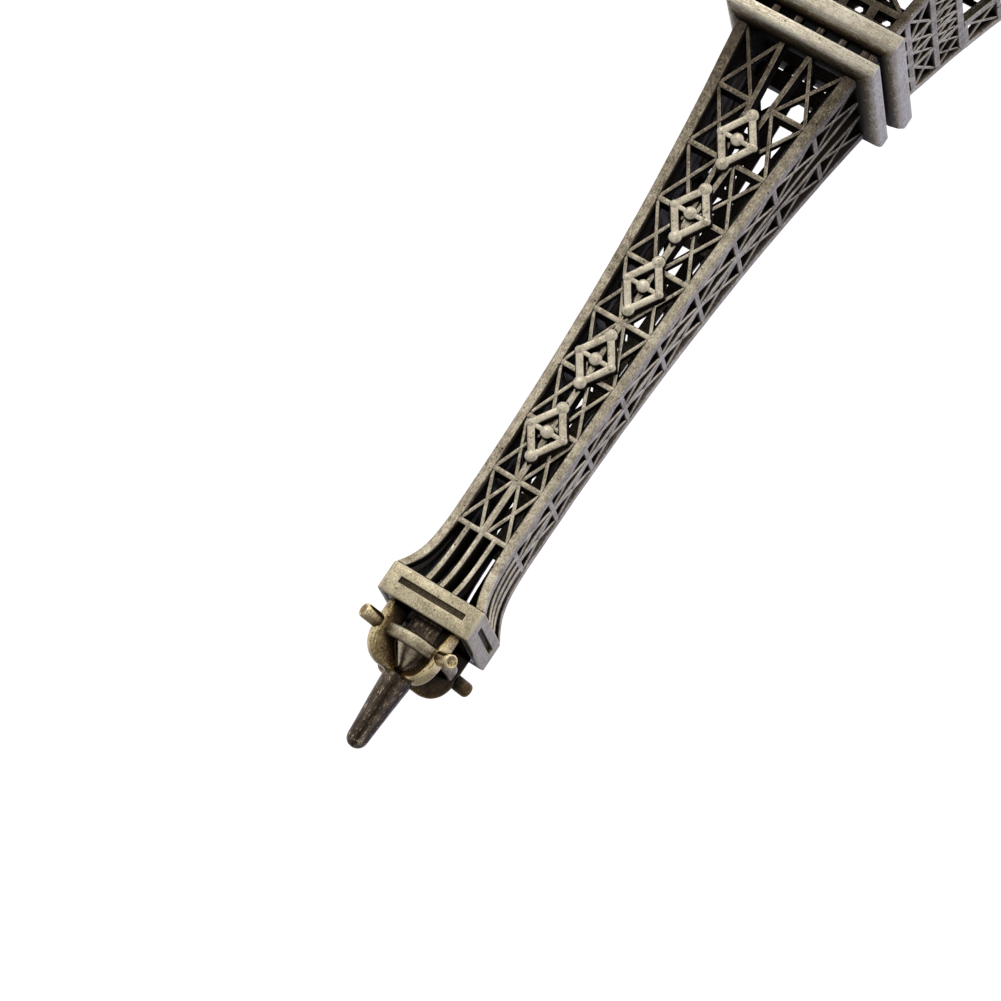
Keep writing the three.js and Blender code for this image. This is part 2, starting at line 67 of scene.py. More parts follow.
SECOND_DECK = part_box("second_floor_upper_slab")[1].z
FIRST_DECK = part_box("first_floor_upper_slab")[1].z
BOX_LOW, BOX_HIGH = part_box("gallery_box")
DECK_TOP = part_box("gallery_deck")[1].z
BAND_LOW, BAND_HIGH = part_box("middle_band_front")
LEG_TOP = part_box("lower_leg_front_left")[1].z
LEG_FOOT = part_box("foot_front_left")[1].z

SHAFT_TOP = 204 * MM
SHAFT_NECK = 7.22 * MM
SHAFT_SPREAD = 6.1 * MM
SHAFT_POWER = 2.15
SHAFT_BAYS = 9
BAY_STEP = 0.09 * MM
FLARE_BOTTOM = 198 * MM
FLARE_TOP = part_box("shaft_panel_front")[1].z
FLARE_GROW = 2.5 * MM
FLARE_POWER = 4.3

MIDDLE_HALF = 15.3 * MM
MIDDLE_SLOPE = 0.195
MIDDLE_SPREAD = 85 * MM
NEAR_LOW, NEAR_HIGH = 0.53, 0.40
NEAR_TOP, NEAR_SLOPE = 16.3 * MM, 0.403
FAR_TOP, FAR_SLOPE = 29.1 * MM, 0.5475


def clamp(value, low=0.0, high=1.0):
    return max(low, min(high, value))


def spread(low, high, count):
    return [low + (high - low) * i / count for i in range(count + 1)]


def shaft_half(z):
    down = max(0.0, (SHAFT_TOP - z) / (SHAFT_TOP - SECOND_DECK))
    flare = max(0.0, (z - FLARE_BOTTOM) / (FLARE_TOP - FLARE_BOTTOM))
    return SHAFT_NECK + SHAFT_SPREAD * down ** SHAFT_POWER + FLARE_GROW * flare ** FLARE_POWER


def shaft_level(i):
    first = (SHAFT_TOP - SECOND_DECK + BAY_STEP * SHAFT_BAYS * (SHAFT_BAYS - 1) / 2) / SHAFT_BAYS
    return SECOND_DECK + i * first - BAY_STEP * i * (i - 1) / 2


def middle_half(z):
    down = BAND_HIGH.z - z
    return MIDDLE_HALF + MIDDLE_SLOPE * down * (1 + (down / MIDDLE_SPREAD) ** 2)


def middle_near(z):
    up = (z - FIRST_DECK) / (BAND_LOW.z - FIRST_DECK)
    return middle_half(z) * (NEAR_LOW + (NEAR_HIGH - NEAR_LOW) * up)


def lower_near(z):
    return NEAR_TOP + NEAR_SLOPE * (LEG_TOP - z)


def lower_far(z):
    return FAR_TOP + FAR_SLOPE * (LEG_TOP - z)


# ---------- Castings: closed shells that together make one piece ----------

# How rubbed a point is, with painted light in it: 1 is a bright worn edge that also stands for a
# painted highlight, 0 the dark patina of a recess deepened by painted shade.
EDGE, FACE, WALL, RECESS = 1.0, 0.8, 0.06, 0.0


class Casting:
    def __init__(self):
        self.points = []
        self.wear_and_shading = []
        self.faces = []

    def shell(self, rings, wear_and_shadings, closed=False):
        """Joins rings of points into one closed shell, with caps unless the rings form a loop."""
        base = len(self.points)
        count = len(rings[0])
        for ring, wear_and_shading in zip(rings, wear_and_shadings):
            self.points.extend(ring)
            self.wear_and_shading.extend(wear_and_shading)
        for i in range(len(rings) if closed else len(rings) - 1):
            low = base + i * count
            high = base + (i + 1) % len(rings) * count
            for j in range(count):
                k = (j + 1) % count
                self.faces.append((low + j, low + k, high + k, high + j))
        if not closed:
            self.faces.append(tuple(base + j for j in reversed(range(count))))
            self.faces.append(tuple(base + (len(rings) - 1) * count + j for j in range(count)))

    def join(self, other, move=None):
        base = len(self.points)
        self.points.extend(move(p) if move else p for p in other.points)
        self.wear_and_shading.extend(other.wear_and_shading)
        self.faces.extend(tuple(base + i for i in face) for face in other.faces)

    def turned(self, quarters):
        spin = Matrix.Rotation(quarters * math.pi / 2, 3, "Z")
        copy = Casting()
        copy.join(self, lambda p: spin @ p)
        return copy


# Cast faces are never quite true: a slow drift and a fine unevenness.
DRIFT, DRIFT_SCALE = 0.05 * MM, 190.0
RIPPLE, RIPPLE_SCALE = 0.022 * MM, 1100.0
# Without a seed the noise takes its offsets from the time, and differs from run to run.
NOISE_SEED = 7
noise.seed_set(NOISE_SEED)


def cast_point(point):
    drift = noise.noise_vector(point * DRIFT_SCALE) * DRIFT
    ripple = noise.noise_vector(point * RIPPLE_SCALE) * RIPPLE
    moved = point + drift + ripple
    moved.z = clamp(moved.z, 0.0, cad_box[1].z)
    return moved


def make_piece(name, casting, material, gloom=None):
    """Makes a casting into the piece that stands for the CAD node of the same name."""
    mesh = bpy.data.meshes.new(f"{name}_cast")
    mesh.from_pydata([cast_point(p) for p in casting.points], [], casting.faces)
    wear_and_shading = mesh.attributes.new("wear_and_shading", "FLOAT", "POINT")
    values = casting.wear_and_shading
    if gloom:
        values = [r - gloom(p) for r, p in zip(values, casting.points)]
    wear_and_shading.data.foreach_set("value", values)
    finish_piece(name, mesh, material)


def make_four(stem, names, casting, material, gloom=None):
    """The same piece turned to all four sides or corners."""
    for k, name in enumerate(names):
        make_piece(f"{stem}_{name}", casting.turned(k), material, gloom)


SHARP_ANGLE = math.radians(38)


def finish_piece(name, mesh, material):
    face_outwards(mesh)
    mesh.shade_smooth()
    mesh.set_sharp_from_angle(angle=SHARP_ANGLE)
    mesh.materials.append(material)
    piece = bpy.data.objects.new(f"{name}_cast", mesh)
    bpy.context.scene.collection.objects.link(piece)
    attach(piece, "root")
    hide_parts(name)


def face_outwards(mesh):
    bm = bmesh.new()
    bm.from_mesh(mesh)
    bmesh.ops.recalc_face_normals(bm, faces=bm.faces)
    bm.to_mesh(mesh)
    bm.free()


# ---------- Bars in a wall ----------

# How much wider a bar is at its back, as a share of its depth on each side.
DRAFT = 0.2
# The rounded front turns into the wall, dark with patina and painted shade, within this depth.
WALL_START = 0.22 * MM
# A little off the back edges.
BACK_NICK = 0.05 * MM


def bar_section(width, depth, radius, face=FACE, draft=DRAFT, back=RECESS):
    """A bar seen from its end, as (across, depth, rub): rounded in front and wider at the back."""
    half = width / 2
    steps = 3
    # The middle of each rounding is brightest, a worn edge with a painted highlight, and the sides
    # darken inwards with patina and painted shade.
    right = []
    for i in range(steps + 1):
        angle = i / steps * math.pi / 2
        across = half - radius + radius * math.sin(angle)
        deep = radius - radius * math.cos(angle)
        right.append((across, deep, EDGE if 0 < i < steps else face))
    right[-1] = (half, radius, face * 0.65)
    shade = min(radius + WALL_START, depth * 0.7)
    right.append((half + draft * shade, shade, WALL))
    right.append((half + draft * depth, depth - BACK_NICK, RECESS))
    right.append((half + draft * depth - BACK_NICK, depth, back))
    return right + [(-across, deep, wear_and_shading) for across, deep, wear_and_shading in reversed(right)]


def resampled(path, pace, closed):
    points = []
    for i in range(len(path) if closed else len(path) - 1):
        a, b = path[i], path[(i + 1) % len(path)]
        steps = max(1, round((b - a).length / pace))
        points.extend(a.lerp(b, k / steps) for k in range(steps))
    if not closed:
        points.append(path[-1])
    return points


def mitre(before, here, after):
    """The sideways direction at a corner of a path, and how much wider the mitre is."""
    arriving = (here - before).normalized() if before != here else (after - here).normalized()
    leaving = (after - here).normalized() if after != here else arriving
    along = (arriving + leaving).normalized()
    side = Vector((along.y, -along.x))
    return side, 1 / max(0.4, side.dot(Vector((arriving.y, -arriving.x))))


# In a crossed pair one brace lies this much behind the other, and both are rounded this much.
BRACE_STEP = 0.08 * MM
BRACE_ROUNDING = 0.22 * MM


class Wall:
    """The front wall of a square tube laid flat: u across, z up and depth inwards."""

    def __init__(self, half, inward=1.0):
        self.half = half
        self.inward = inward

    def at(self, u, z, depth):
        return Vector((u, self.inward * depth - self.half(z), z))

    def bar(self, casting, path, width, depth, radius, recess=0.0, closed=False, face=FACE,
            pace=4 * MM, draft=DRAFT, back=RECESS):
        """A bar along a path of (u, z), its front this much behind the wall's own face."""
        path = resampled([Vector(p) for p in path], pace, closed)
        section = bar_section(width, depth, radius, face, draft, back)
        last = len(path) - 1
        rings = []
        for i, here in enumerate(path):
            before = path[i - 1] if i > 0 or closed else here
            after = path[(i + 1) % len(path)] if i < last or closed else here
            side, stretch = mitre(before, here, after)
            side *= stretch
            rings.append([
                self.at(here.x + side.x * across, here.y + side.y * across, recess + deep)
                for across, deep, _ in section
            ])
        casting.shell(rings, [[wear_and_shading for _, _, wear_and_shading in section]] * len(rings), closed)

    def cross(self, casting, low, high, inner, outer, width, depth, recess, bury=0.4 * MM, **look):
        """A crossed pair of braces in a cell, one passing just behind the other."""
        first = (Vector((inner(low), low)), Vector((outer(high), high)))
        second = (Vector((outer(low), low)), Vector((inner(high), high)))
        for i, (a, b) in enumerate((first, second)):
            along = (b - a).normalized() * bury
            self.bar(casting, [a - along, b + along], width, depth, BRACE_ROUNDING,
                     recess + i * BRACE_STEP, **look)


# A corner bar's rounded corner is a little more rubbed than its faces, and most along its middle:
# wear, and a painted highlight.
CORNER_WEAR_AND_SHEEN, CORNER_MIDDLE_WEAR_AND_SHEEN = 0.84, 0.9


def corner_bar(casting, levels, corner, inward, size, radius, wear_and_shadings, draft=lambda z: 0.35 * MM):
    """An upright corner bar. Its rounded outer corner follows corner(z), inward says on which side
    its other corners lie, rubs are those of the faces along Y, along X and inside, and draft(z) is
    how much wider it is inside."""
    y_face, x_face, inside = wear_and_shadings
    nick = 0.2 * MM
    rounding = spread(math.pi, 1.5 * math.pi, 6)
    rings = []
    shape_wear_and_shading = [y_face, CORNER_WEAR_AND_SHEEN, CORNER_WEAR_AND_SHEEN, CORNER_MIDDLE_WEAR_AND_SHEEN, CORNER_WEAR_AND_SHEEN, CORNER_WEAR_AND_SHEEN, x_face]
    shape_wear_and_shading += [x_face, x_face * 0.5, inside, inside, inside, y_face * 0.5, y_face]
    for z in levels:
        x0, y0 = corner(z)
        s = size(z)
        shape = [(radius + radius * math.cos(a), radius + radius * math.sin(a)) for a in rounding]
        far = s + draft(z)
        shoulder = s + draft(z) * 0.7
        shape += [(s - nick, 0), (s, nick), (shoulder, s * 0.5), (far, far),
                  (s * 0.5, shoulder), (nick, s), (0, s - nick)]
        rings.append([Vector((x0 + inward[0] * x, y0 + inward[1] * y, z)) for x, y in shape])
    casting.shell(rings, [shape_wear_and_shading] * len(rings))


# ---------- Square and turned bodies ----------

CORNER_STEPS = 3


def square_ring(half, z, radius, centre):
    points = []
    flat = half - radius
    for k, (x, y) in enumerate(((flat, flat), (-flat, flat), (-flat, -flat), (flat, -flat))):
        for i in range(CORNER_STEPS + 1):
            angle = (k + i / CORNER_STEPS) * math.pi / 2
            points.append(Vector((centre[0] + x + radius * math.cos(angle),
                                  centre[1] + y + radius * math.sin(angle), z)))
    return points


def square_body(casting, profile, centre=(0.0, 0.0), closed=False, ridge=0.0):
    """profile lists (half width, height, corner radius, rub); ridge adds rub along the corners."""
    rings = [square_ring(half, z, radius, centre) for half, z, radius, _ in profile]
    added = [ridge if 0 < i < CORNER_STEPS else 0 for i in range(CORNER_STEPS + 1)] * 4
    casting.shell(rings, [[wear_and_shading + more for more in added] for _, _, _, wear_and_shading in profile], closed)


def turned_body(casting, profile, segments, place=Matrix.Identity(4)):
    """profile lists (radius, height, rub) along the axis."""
    angles = spread(0, 2 * math.pi, segments)[:-1]
    rings = [
        [place @ Vector((r * math.cos(a), r * math.sin(a), z)) for a in angles] for r, z, _ in profile
    ]
    casting.shell(rings, [[wear_and_shading] * segments for _, _, wear_and_shading in profile])


# ---------- Materials ----------

def node(tree, kind, **settings):
    made = tree.nodes.new(kind)
    for key, value in settings.items():
        setattr(made, key, value)
    return made


def feed(tree, socket, value):
    if isinstance(value, (int, float, tuple)):
        socket.default_value = value
    else:
        tree.links.new(value, socket)


def maths(tree, operation, *values, clamped=False):
    made = node(tree, "ShaderNodeMath", operation=operation, use_clamp=clamped)
    for socket, value in zip(made.inputs, values):
        feed(tree, socket, value)
    return made.outputs[0]


def swing(tree, source, amount):
    """A texture's value as a signed change of up to half the amount."""
    return maths(tree, "MULTIPLY", maths(tree, "SUBTRACT", source, 0.5), amount)


def total(tree, first, *others):
    for other in others:
        first = maths(tree, "ADD", first, other)
    return first


def fog(tree, coords, scale, detail, stretch=(1, 1, 1)):
    """Noise over the object, drawn out along an axis where stretch is under 1."""
    mapping = node(tree, "ShaderNodeMapping")
    feed(tree, mapping.inputs["Vector"], coords)
    mapping.inputs["Scale"].default_value = stretch
    made = node(tree, "ShaderNodeTexNoise")
    feed(tree, made.inputs["Vector"], mapping.outputs["Vector"])
    made.inputs["Scale"].default_value = scale
    made.inputs["Detail"].default_value = detail
    made.inputs["Roughness"].default_value = 0.62
    return made.outputs["Fac"]


def pitting(tree, coords, scale, size, share):
    """1 in small round pits, 0 elsewhere; share is how many of the cells have one."""
    cells = node(tree, "ShaderNodeTexVoronoi")
    feed(tree, cells.inputs["Vector"], coords)
    cells.inputs["Scale"].default_value = scale
    pick = node(tree, "ShaderNodeSeparateColor")
    feed(tree, pick.inputs["Color"], cells.outputs["Color"])
    hole = maths(tree, "LESS_THAN", cells.outputs["Distance"], size)
    return maths(tree, "MULTIPLY", hole, maths(tree, "LESS_THAN", pick.outputs[0], share))


def colour_ramp(tree, source, stops):
    made = node(tree, "ShaderNodeValToRGB")
    elements = made.color_ramp.elements
    while len(elements) < len(stops):
        elements.new(0.5)
    for element, (position, colour) in zip(elements, stops):
        element.position = position
        element.color = (*colour, 1.0)
    feed(tree, made.inputs["Fac"], source)
    return made.outputs["Color"]


def between(tree, socket, start, end):
    made = node(tree, "ShaderNodeMapRange", interpolation_type="SMOOTHSTEP")
    feed(tree, made.inputs["Value"], socket)
    made.inputs["From Min"].default_value = start
    made.inputs["From Max"].default_value = end
    return made.outputs["Result"]


def mixed(tree, factor, a, b, blend="MIX"):
    made = node(tree, "ShaderNodeMix", data_type="RGBA", blend_type=blend)
    feed(tree, made.inputs[0], factor)
    feed(tree, made.inputs[6], a)
    feed(tree, made.inputs[7], b)
    return made.outputs[2]


# Scratches run round a floor, up a bar or in long streaks along the mast.
ACROSS = (0.12, 0.12, 1.0)
UPRIGHT = (1.0, 1.0, 0.3)
ALONG = (1.0, 1.0, 0.13)

# How fine each texture is, in cells or waves to the metre.
DRIFT_TONE, CLOUD, GRAIN, SCRATCH, PITS = 70.0, 430.0, 3600.0, 5200.0, 1050.0
PIT_SIZE, PIT_SHARE = 0.2, 0.2
# Points this little rubbed or more take the full change from the textures.
OPEN_SLOPE, OPEN_START = 1.5, 0.15

# The box and the cupola are a little more golden than the rest.
CROWN_TINT = (0.96, 0.94, 0.84, 1)
CROWN_FADE = 6 * MM


def cast_metal(name, tones, rough, grain_depth, scratch, cloudiness=0.85, grit=1.1, scuffs=0.3):
    """Antique plated casting: dark patina deepened by painted shade in the recesses, rubbed metal with
    painted highlights on what stands out.
    """
    material = bpy.data.materials.new(name)
    material.use_nodes = True
    tree = material.node_tree
    shader = tree.nodes["Principled BSDF"]
    coords = node(tree, "ShaderNodeTexCoord").outputs["Object"]
    wear_and_shading = node(tree, "ShaderNodeAttribute", attribute_name="wear_and_shading").outputs["Fac"]

    drift = fog(tree, coords, DRIFT_TONE, 2.0)
    cloud = fog(tree, coords, CLOUD, 4.0)
    grain = fog(tree, coords, GRAIN, 3.0)
    scratches = fog(tree, coords, SCRATCH, 2.0, scratch)
    pits = pitting(tree, coords, PITS, PIT_SIZE, PIT_SHARE)

    scuffed = maths(tree, "MULTIPLY", between(tree, scratches, 0.63, 0.7), scuffs)
    change = total(tree, swing(tree, drift, 0.45), swing(tree, cloud, cloudiness),
                   swing(tree, grain, grit), swing(tree, scratches, 0.75),
                   maths(tree, "MULTIPLY", pits, -0.4), scuffed)
    # Recesses keep an even patina and painted shade.
    open_to_wear = maths(tree, "MULTIPLY_ADD", wear_and_shading, OPEN_SLOPE, OPEN_START, clamped=True)
    worn_and_shaded = maths(tree, "ADD", wear_and_shading, maths(tree, "MULTIPLY", change, open_to_wear), clamped=True)
    metal = colour_ramp(tree, worn_and_shaded, tones)
    place = node(tree, "ShaderNodeSeparateXYZ")
    feed(tree, place.inputs[0], coords)
    crown = between(tree, place.outputs["Z"], FLARE_TOP - CROWN_FADE, FLARE_TOP)
    metal = mixed(tree, crown, metal, CROWN_TINT, "MULTIPLY")
    feed(tree, shader.inputs["Base Color"], metal)

    gloss = node(tree, "ShaderNodeMapRange")
    feed(tree, gloss.inputs["Value"], worn_and_shaded)
    gloss.inputs["To Min"].default_value = rough + 0.16
    gloss.inputs["To Max"].default_value = rough - 0.06
    feed(tree, shader.inputs["Roughness"], gloss.outputs["Result"])
    shader.inputs["Metallic"].default_value = 1.0

    parts = ((grain, 0.6), (cloud, 0.5), (scratches, 0.45), (pits, -0.7))
    height = total(tree, *(maths(tree, "MULTIPLY", part, share) for part, share in parts))
    bump = node(tree, "ShaderNodeBump")
    bump.inputs["Strength"].default_value = 0.8
    bump.inputs["Distance"].default_value = grain_depth
    feed(tree, bump.inputs["Height"], height)
    feed(tree, shader.inputs["Normal"], bump.outputs["Normal"])
    return material


PATINA = (0.021, 0.017, 0.014)
BRASS_TONES = [
    (0.06, PATINA), (0.38, (0.115, 0.095, 0.072)), (0.72, (0.365, 0.325, 0.258)),
    (1.0, (0.64, 0.6, 0.5)),
]
BRASS_LAY = dict(rough=0.36, grain_depth=0.05 * MM, scratch=UPRIGHT, grit=0.85)
BRASS = cast_metal("antique_brass", BRASS_TONES, **BRASS_LAY)
BOX_BRASS = cast_metal("box_brass", BRASS_TONES, cloudiness=0.45, **BRASS_LAY)
FLOOR_BRASS = cast_metal(
    "floor_brass",
    [(0.06, PATINA), (0.34, (0.12, 0.092, 0.055)), (0.62, (0.34, 0.3, 0.21)),
     (0.84, (0.55, 0.515, 0.44)), (1.0, (0.7, 0.67, 0.59))],
    rough=0.36, grain_depth=0.04 * MM, scratch=ACROSS, cloudiness=0.3, grit=0.7,
)
BRONZE_TONES = [
    (0.1, PATINA), (0.46, (0.08, 0.064, 0.056)), (0.7, (0.248, 0.2, 0.165)), (1.0, (0.85, 0.78, 0.64)),
]
DARK_BRONZE = cast_metal(
    "dark_bronze", BRONZE_TONES,
    rough=0.15, grain_depth=0.045 * MM, scratch=ALONG, cloudiness=0.55, grit=0.7, scuffs=0.6,
)
DRUM_BRONZE = cast_metal(
    "drum_bronze", BRONZE_TONES,
    rough=0.42, grain_depth=0.045 * MM, scratch=ALONG, cloudiness=0.4, grit=0.6, scuffs=0.4,
)
GILT_BRONZE = cast_metal(
    "gilt_bronze",
    [(0.1, PATINA), (0.4, (0.09, 0.06, 0.032)), (0.7, (0.33, 0.245, 0.13)),
     (1.0, (0.85, 0.75, 0.52))],
    rough=0.2, grain_depth=0.028 * MM, scratch=UPRIGHT, cloudiness=0.7, grit=0.65,
)


# ---------- Feet and legs ----------

# The feet are drawn in by what the unevenness of a cast face can add.
FOOT_MARGIN = 0.06 * MM


def add_feet():
    low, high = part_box("foot_front_left")
    centre = ((low.x + high.x) / 2, (low.y + high.y) / 2)
    half = (high.x - low.x) / 2 - FOOT_MARGIN
    step = high.z * 0.62
    soft = 0.25 * MM
    foot = Casting()
    square_body(foot, [
        (half - soft, low.z, 0.7 * MM, WALL),
        (half, low.z + soft, 0.8 * MM, 0.6),
        (half, low.z + 2 * soft, 0.8 * MM, FACE),
        (half, step - 2 * soft, 0.8 * MM, FACE),
        (half - soft * 0.3, step - soft * 0.3, 0.8 * MM, EDGE),
        (half - soft, step, 0.7 * MM, EDGE),
        (half - 0.8 * MM, step + 0.05 * MM, 0.6 * MM, 0.4),
        (half - 0.95 * MM, step + 0.2 * MM, 0.6 * MM, WALL),
        (half - 1.0 * MM, high.z - soft, 0.6 * MM, FACE),
        (half - 1.1 * MM, high.z - soft * 0.3, 0.6 * MM, EDGE),
        (half - 1.3 * MM, high.z, 0.5 * MM, EDGE),
        (half - 2.3 * MM, high.z, 0.5 * MM, 0.45),
        (half - 6.0 * MM, high.z, 0.5 * MM, 0.1),
    ], centre)
    make_four("foot", CORNERS, foot, FLOOR_BRASS)


LEG_BAR = 1.9 * MM
LEG_RAIL = 1.0 * MM
LEG_BRACE = 0.75 * MM
LEG_GLOOM = 0.12


def corner_leg(low, high, near, far, bays, bends):
    """The front left leg: four corner bars, rails between the bays and crossed braces all round."""
    leg = Casting()
    levels = spread(low, high, bends)
    size = lambda z: LEG_BAR
    # Faces turned in towards the tower are darker and its inside darkest: patina with painted shade.
    outer, inner, inside = FACE, 0.55, 0.08
    for x, y, radius in ((far, far, 0.4 * MM), (near, near, 0.3 * MM), (far, near, 0.3 * MM),
                         (near, far, 0.3 * MM)):
        inward = (1 if x is far else -1, 1 if y is far else -1)
        wear_and_shadings = (outer if x is far else inner, outer if y is far else inner, inside)
        corner_bar(leg, levels, lambda z: (-x(z), -y(z)), inward, size, radius, wear_and_shadings)

    lattice = Casting()
    inner_edge = lambda z: -near(z) - LEG_BAR
    outer_edge = lambda z: -far(z) + LEG_BAR
    stops = spread(low, high, bays)
    for wall, face in ((Wall(far), outer), (Wall(near, -1.0), inner)):
        for z in stops:
            rail = clamp(z, low + LEG_RAIL / 2, high - LEG_RAIL / 2)
            ends = [(outer_edge(rail) - 0.5 * MM, rail), (inner_edge(rail) + 0.5 * MM, rail)]
            wall.bar(lattice, ends, LEG_RAIL, 1.3 * MM, 0.25 * MM, 0.1 * MM, face=face)
        for z0, z1 in zip(stops, stops[1:]):
            wall.cross(lattice, z0 + LEG_RAIL * 0.4, z1 - LEG_RAIL * 0.4, inner_edge, outer_edge,
                       LEG_BRACE, 1.2 * MM, 0.26 * MM, face=face)
    leg.join(lattice)
    # The other two faces are the same lattice seen in the mirror x = y.
    leg.join(lattice, lambda p: Vector((p.y, p.x, p.z)))
    return leg


def middle_slab_shadow(p):
    """Painted shadow of the second floor's slab: front and back are darkened under it, most near the
    top, where the sides stay lighter.
    """
    front = clamp((abs(p.y) - abs(p.x)) / (2 * MM) + 0.5)
    return 0.04 + front * (0.12 + 0.4 * clamp((p.z - 60 * MM) / (20 * MM)))


def add_legs():
    lower = corner_leg(LEG_FOOT, LEG_TOP + 0.3 * MM, lower_near, lower_far, 4, 4)
    make_four("lower_leg", CORNERS, lower, BRASS, lambda p: LEG_GLOOM)
    middle = corner_leg(FIRST_DECK, BAND_LOW.z, middle_near, middle_half, 2, 6)
    make_four("middle_leg", CORNERS, middle, BRASS, middle_slab_shadow)


# ---------- Arches ----------

ARCH_CENTRE, ARCH_RADIUS, ARCH_BAND = 5.5 * MM, 25 * MM, 3 * MM
# Where, in degrees, the band above the passage starts, and its uprights' places across.
BAND_START = 37
UPRIGHTS = (8.6 * MM, 11.6 * MM, 14.6 * MM)
ARCH_GLOOM = 0.08


def arch_point(radius, degrees):
    angle = math.radians(degrees)
    return (radius * math.cos(angle), ARCH_CENTRE + radius * math.sin(angle))


def add_arches():
    wall = Wall(lower_far)
    arch = Casting()
    foot = math.degrees(math.asin((LEG_FOOT - ARCH_CENTRE) / ARCH_RADIUS))
    inner = ARCH_RADIUS + 0.6 * MM
    outer = ARCH_RADIUS + ARCH_BAND - 0.45 * MM
    for radius, start, width in ((inner, foot, 1.2 * MM), (outer, BAND_START, 0.9 * MM)):
        path = [arch_point(radius, angle) for angle in spread(start, 180 - start, 56)]
        wall.bar(arch, path, width, 1.5 * MM, 0.25 * MM, pace=3 * MM)
    for angle in spread(BAND_START, 180 - BAND_START, 26):
        wall.bar(arch, [arch_point(inner, angle), arch_point(outer, angle)],
                 0.5 * MM, 0.9 * MM, 0.15 * MM, 0.22 * MM)

    rail = LEG_TOP - 0.4 * MM
    ledge = LEG_TOP - 2.2 * MM
    edge = lambda z: lower_near(z) - 0.2 * MM
    for z, width in ((rail, 1.4 * MM), (ledge, 0.7 * MM)):
        wall.bar(arch, [(-edge(z), z), (edge(z), z)], width, 1.4 * MM, 0.2 * MM, 0.05 * MM)
    stops = spread(-edge(rail), edge(rail), 15)
    for left, right in zip(stops, stops[1:]):
        wall.cross(arch, ledge + 0.25 * MM, rail - 0.6 * MM, lambda z: left, lambda z: right,
                   0.35 * MM, 0.8 * MM, 0.28 * MM, bury=0.1 * MM)
    for side in (-1, 1):
        uprights = [side * u for u in UPRIGHTS]
        crown = [math.sqrt((ARCH_RADIUS + ARCH_BAND) ** 2 - u * u) for u in uprights]
        feet = [ARCH_CENTRE + height - 0.4 * MM for height in crown]
        for u, z in zip(uprights, feet):
            wall.bar(arch, [(u, z), (u, ledge)], 0.7 * MM, 1.3 * MM, 0.2 * MM, 0.1 * MM)
        for i in (0, 1):
            wall.bar(arch, [(uprights[i], ledge), (uprights[i + 1], feet[i + 1])],
                     0.5 * MM, 1.1 * MM, 0.15 * MM, 0.2 * MM)
    make_four("arch", SIDES, arch, BRASS, lambda p: ARCH_GLOOM)


# ---------- Floors ----------

# How rubbed a slab's slope is, from the fascia, 0, to what stands on it, 1; the darkening towards what
# stands on it is partly patina and partly painted shade.
SLOPE_WEAR_AND_SHADE = ((0.3, 0.68), (0.45, 0.5), (0.65, 0.28), (0.85, 0.1), (1.0, 0.02))
# The slab's rounded corners are brighter: wear and a painted highlight.
SLAB_RIDGE = 0.3

GALLERY_PITCH = 4.93 * MM
GALLERY_POST = 1.6 * MM
# The posts reach this far into the slabs above and below.
GALLERY_BURY = 0.15 * MM
# The gallery posts, set back between the slabs, are darkened by this much: painted shade.
GALLERY_GLOOM = 0.56


def slab(name):
    """A square frame: an upright fascia with worn edges that carry a painted highlight, and a top that
    slopes up inwards; underneath and inwards it is darkened with patina and painted shade.
    """
    low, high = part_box(name)
    corners = [v.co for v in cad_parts[name].data.vertices]
    near = 0.01 * MM
    well = min(abs(p.x) for p in corners)
    inner = max(p.x for p in corners if p.z > high.z - near)
    fascia = max(p.z for p in corners if p.x > high.x - near)
    soft = 0.22 * MM
    half = high.x
    slope = lambda t: (half + (inner - half) * t, fascia + (high.z - fascia) * t)
    profile = [
        (well, low.z + soft, 0.3 * MM, RECESS),
        (well + soft, low.z, 0.3 * MM, RECESS),
        (half - 1.5 * MM, low.z, 0.3 * MM, 0.25),
        (half - soft, low.z, 0.3 * MM, 0.5),
        (half, low.z + soft, 0.25 * MM, EDGE),
        (half, low.z + 3 * soft, 0.25 * MM, FACE),
        (half, fascia - 0.9 * MM, 0.25 * MM, FACE),
        (half - 0.06 * MM, fascia - 0.5 * MM, 0.25 * MM, 0.82),
        (half - 0.22 * MM, fascia - 0.2 * MM, 0.25 * MM, 0.85),
        (half - 0.5 * MM, fascia + 0.04 * MM, 0.2 * MM, 0.82),
    ]
    for t, wear_and_shading in SLOPE_WEAR_AND_SHADE:
        width, z = slope(t)
        profile.append((width, z - 0.1 * MM * (1 - t), 0.12 * MM, wear_and_shading))
    profile += [
        ((inner + well) / 2, high.z, 0.2 * MM, RECESS),
        (well + soft, high.z, 0.3 * MM, RECESS),
        (well, high.z - soft, 0.3 * MM, RECESS),
    ]
    body = Casting()
    square_body(body, profile, closed=True, ridge=SLAB_RIDGE)
    return body


def add_floor(stem, openings):
    for name in (f"{stem}_lower_slab", f"{stem}_upper_slab"):
        make_piece(name, slab(name), FLOOR_BRASS)
    low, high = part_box(f"{stem}_gallery_front")
    bottom, top = low.z - GALLERY_BURY, high.z + GALLERY_BURY
    wall = Wall(lambda z: -low.y)
    row = Casting()
    # One more post stands at the left end, where this row meets the next.
    places = [(i - openings / 2) * GALLERY_PITCH for i in range(openings + 1)]
    for u in places + [low.x + GALLERY_POST * 0.55]:
        wall.bar(row, [(u, bottom), (u, top)], GALLERY_POST, 1.2 * MM, 0.2 * MM)
    make_four(f"{stem}_gallery", SIDES, row, DARK_BRONZE, lambda p: GALLERY_GLOOM)


# ---------- Middle bands ----------

BAND_BAR = 2.0 * MM
BAND_SPLIT = 0.35
BAND_SILL = 79.5 * MM
BAND_WAIST = 72.7 * MM
WINDOW_PITCH = 6 * MM


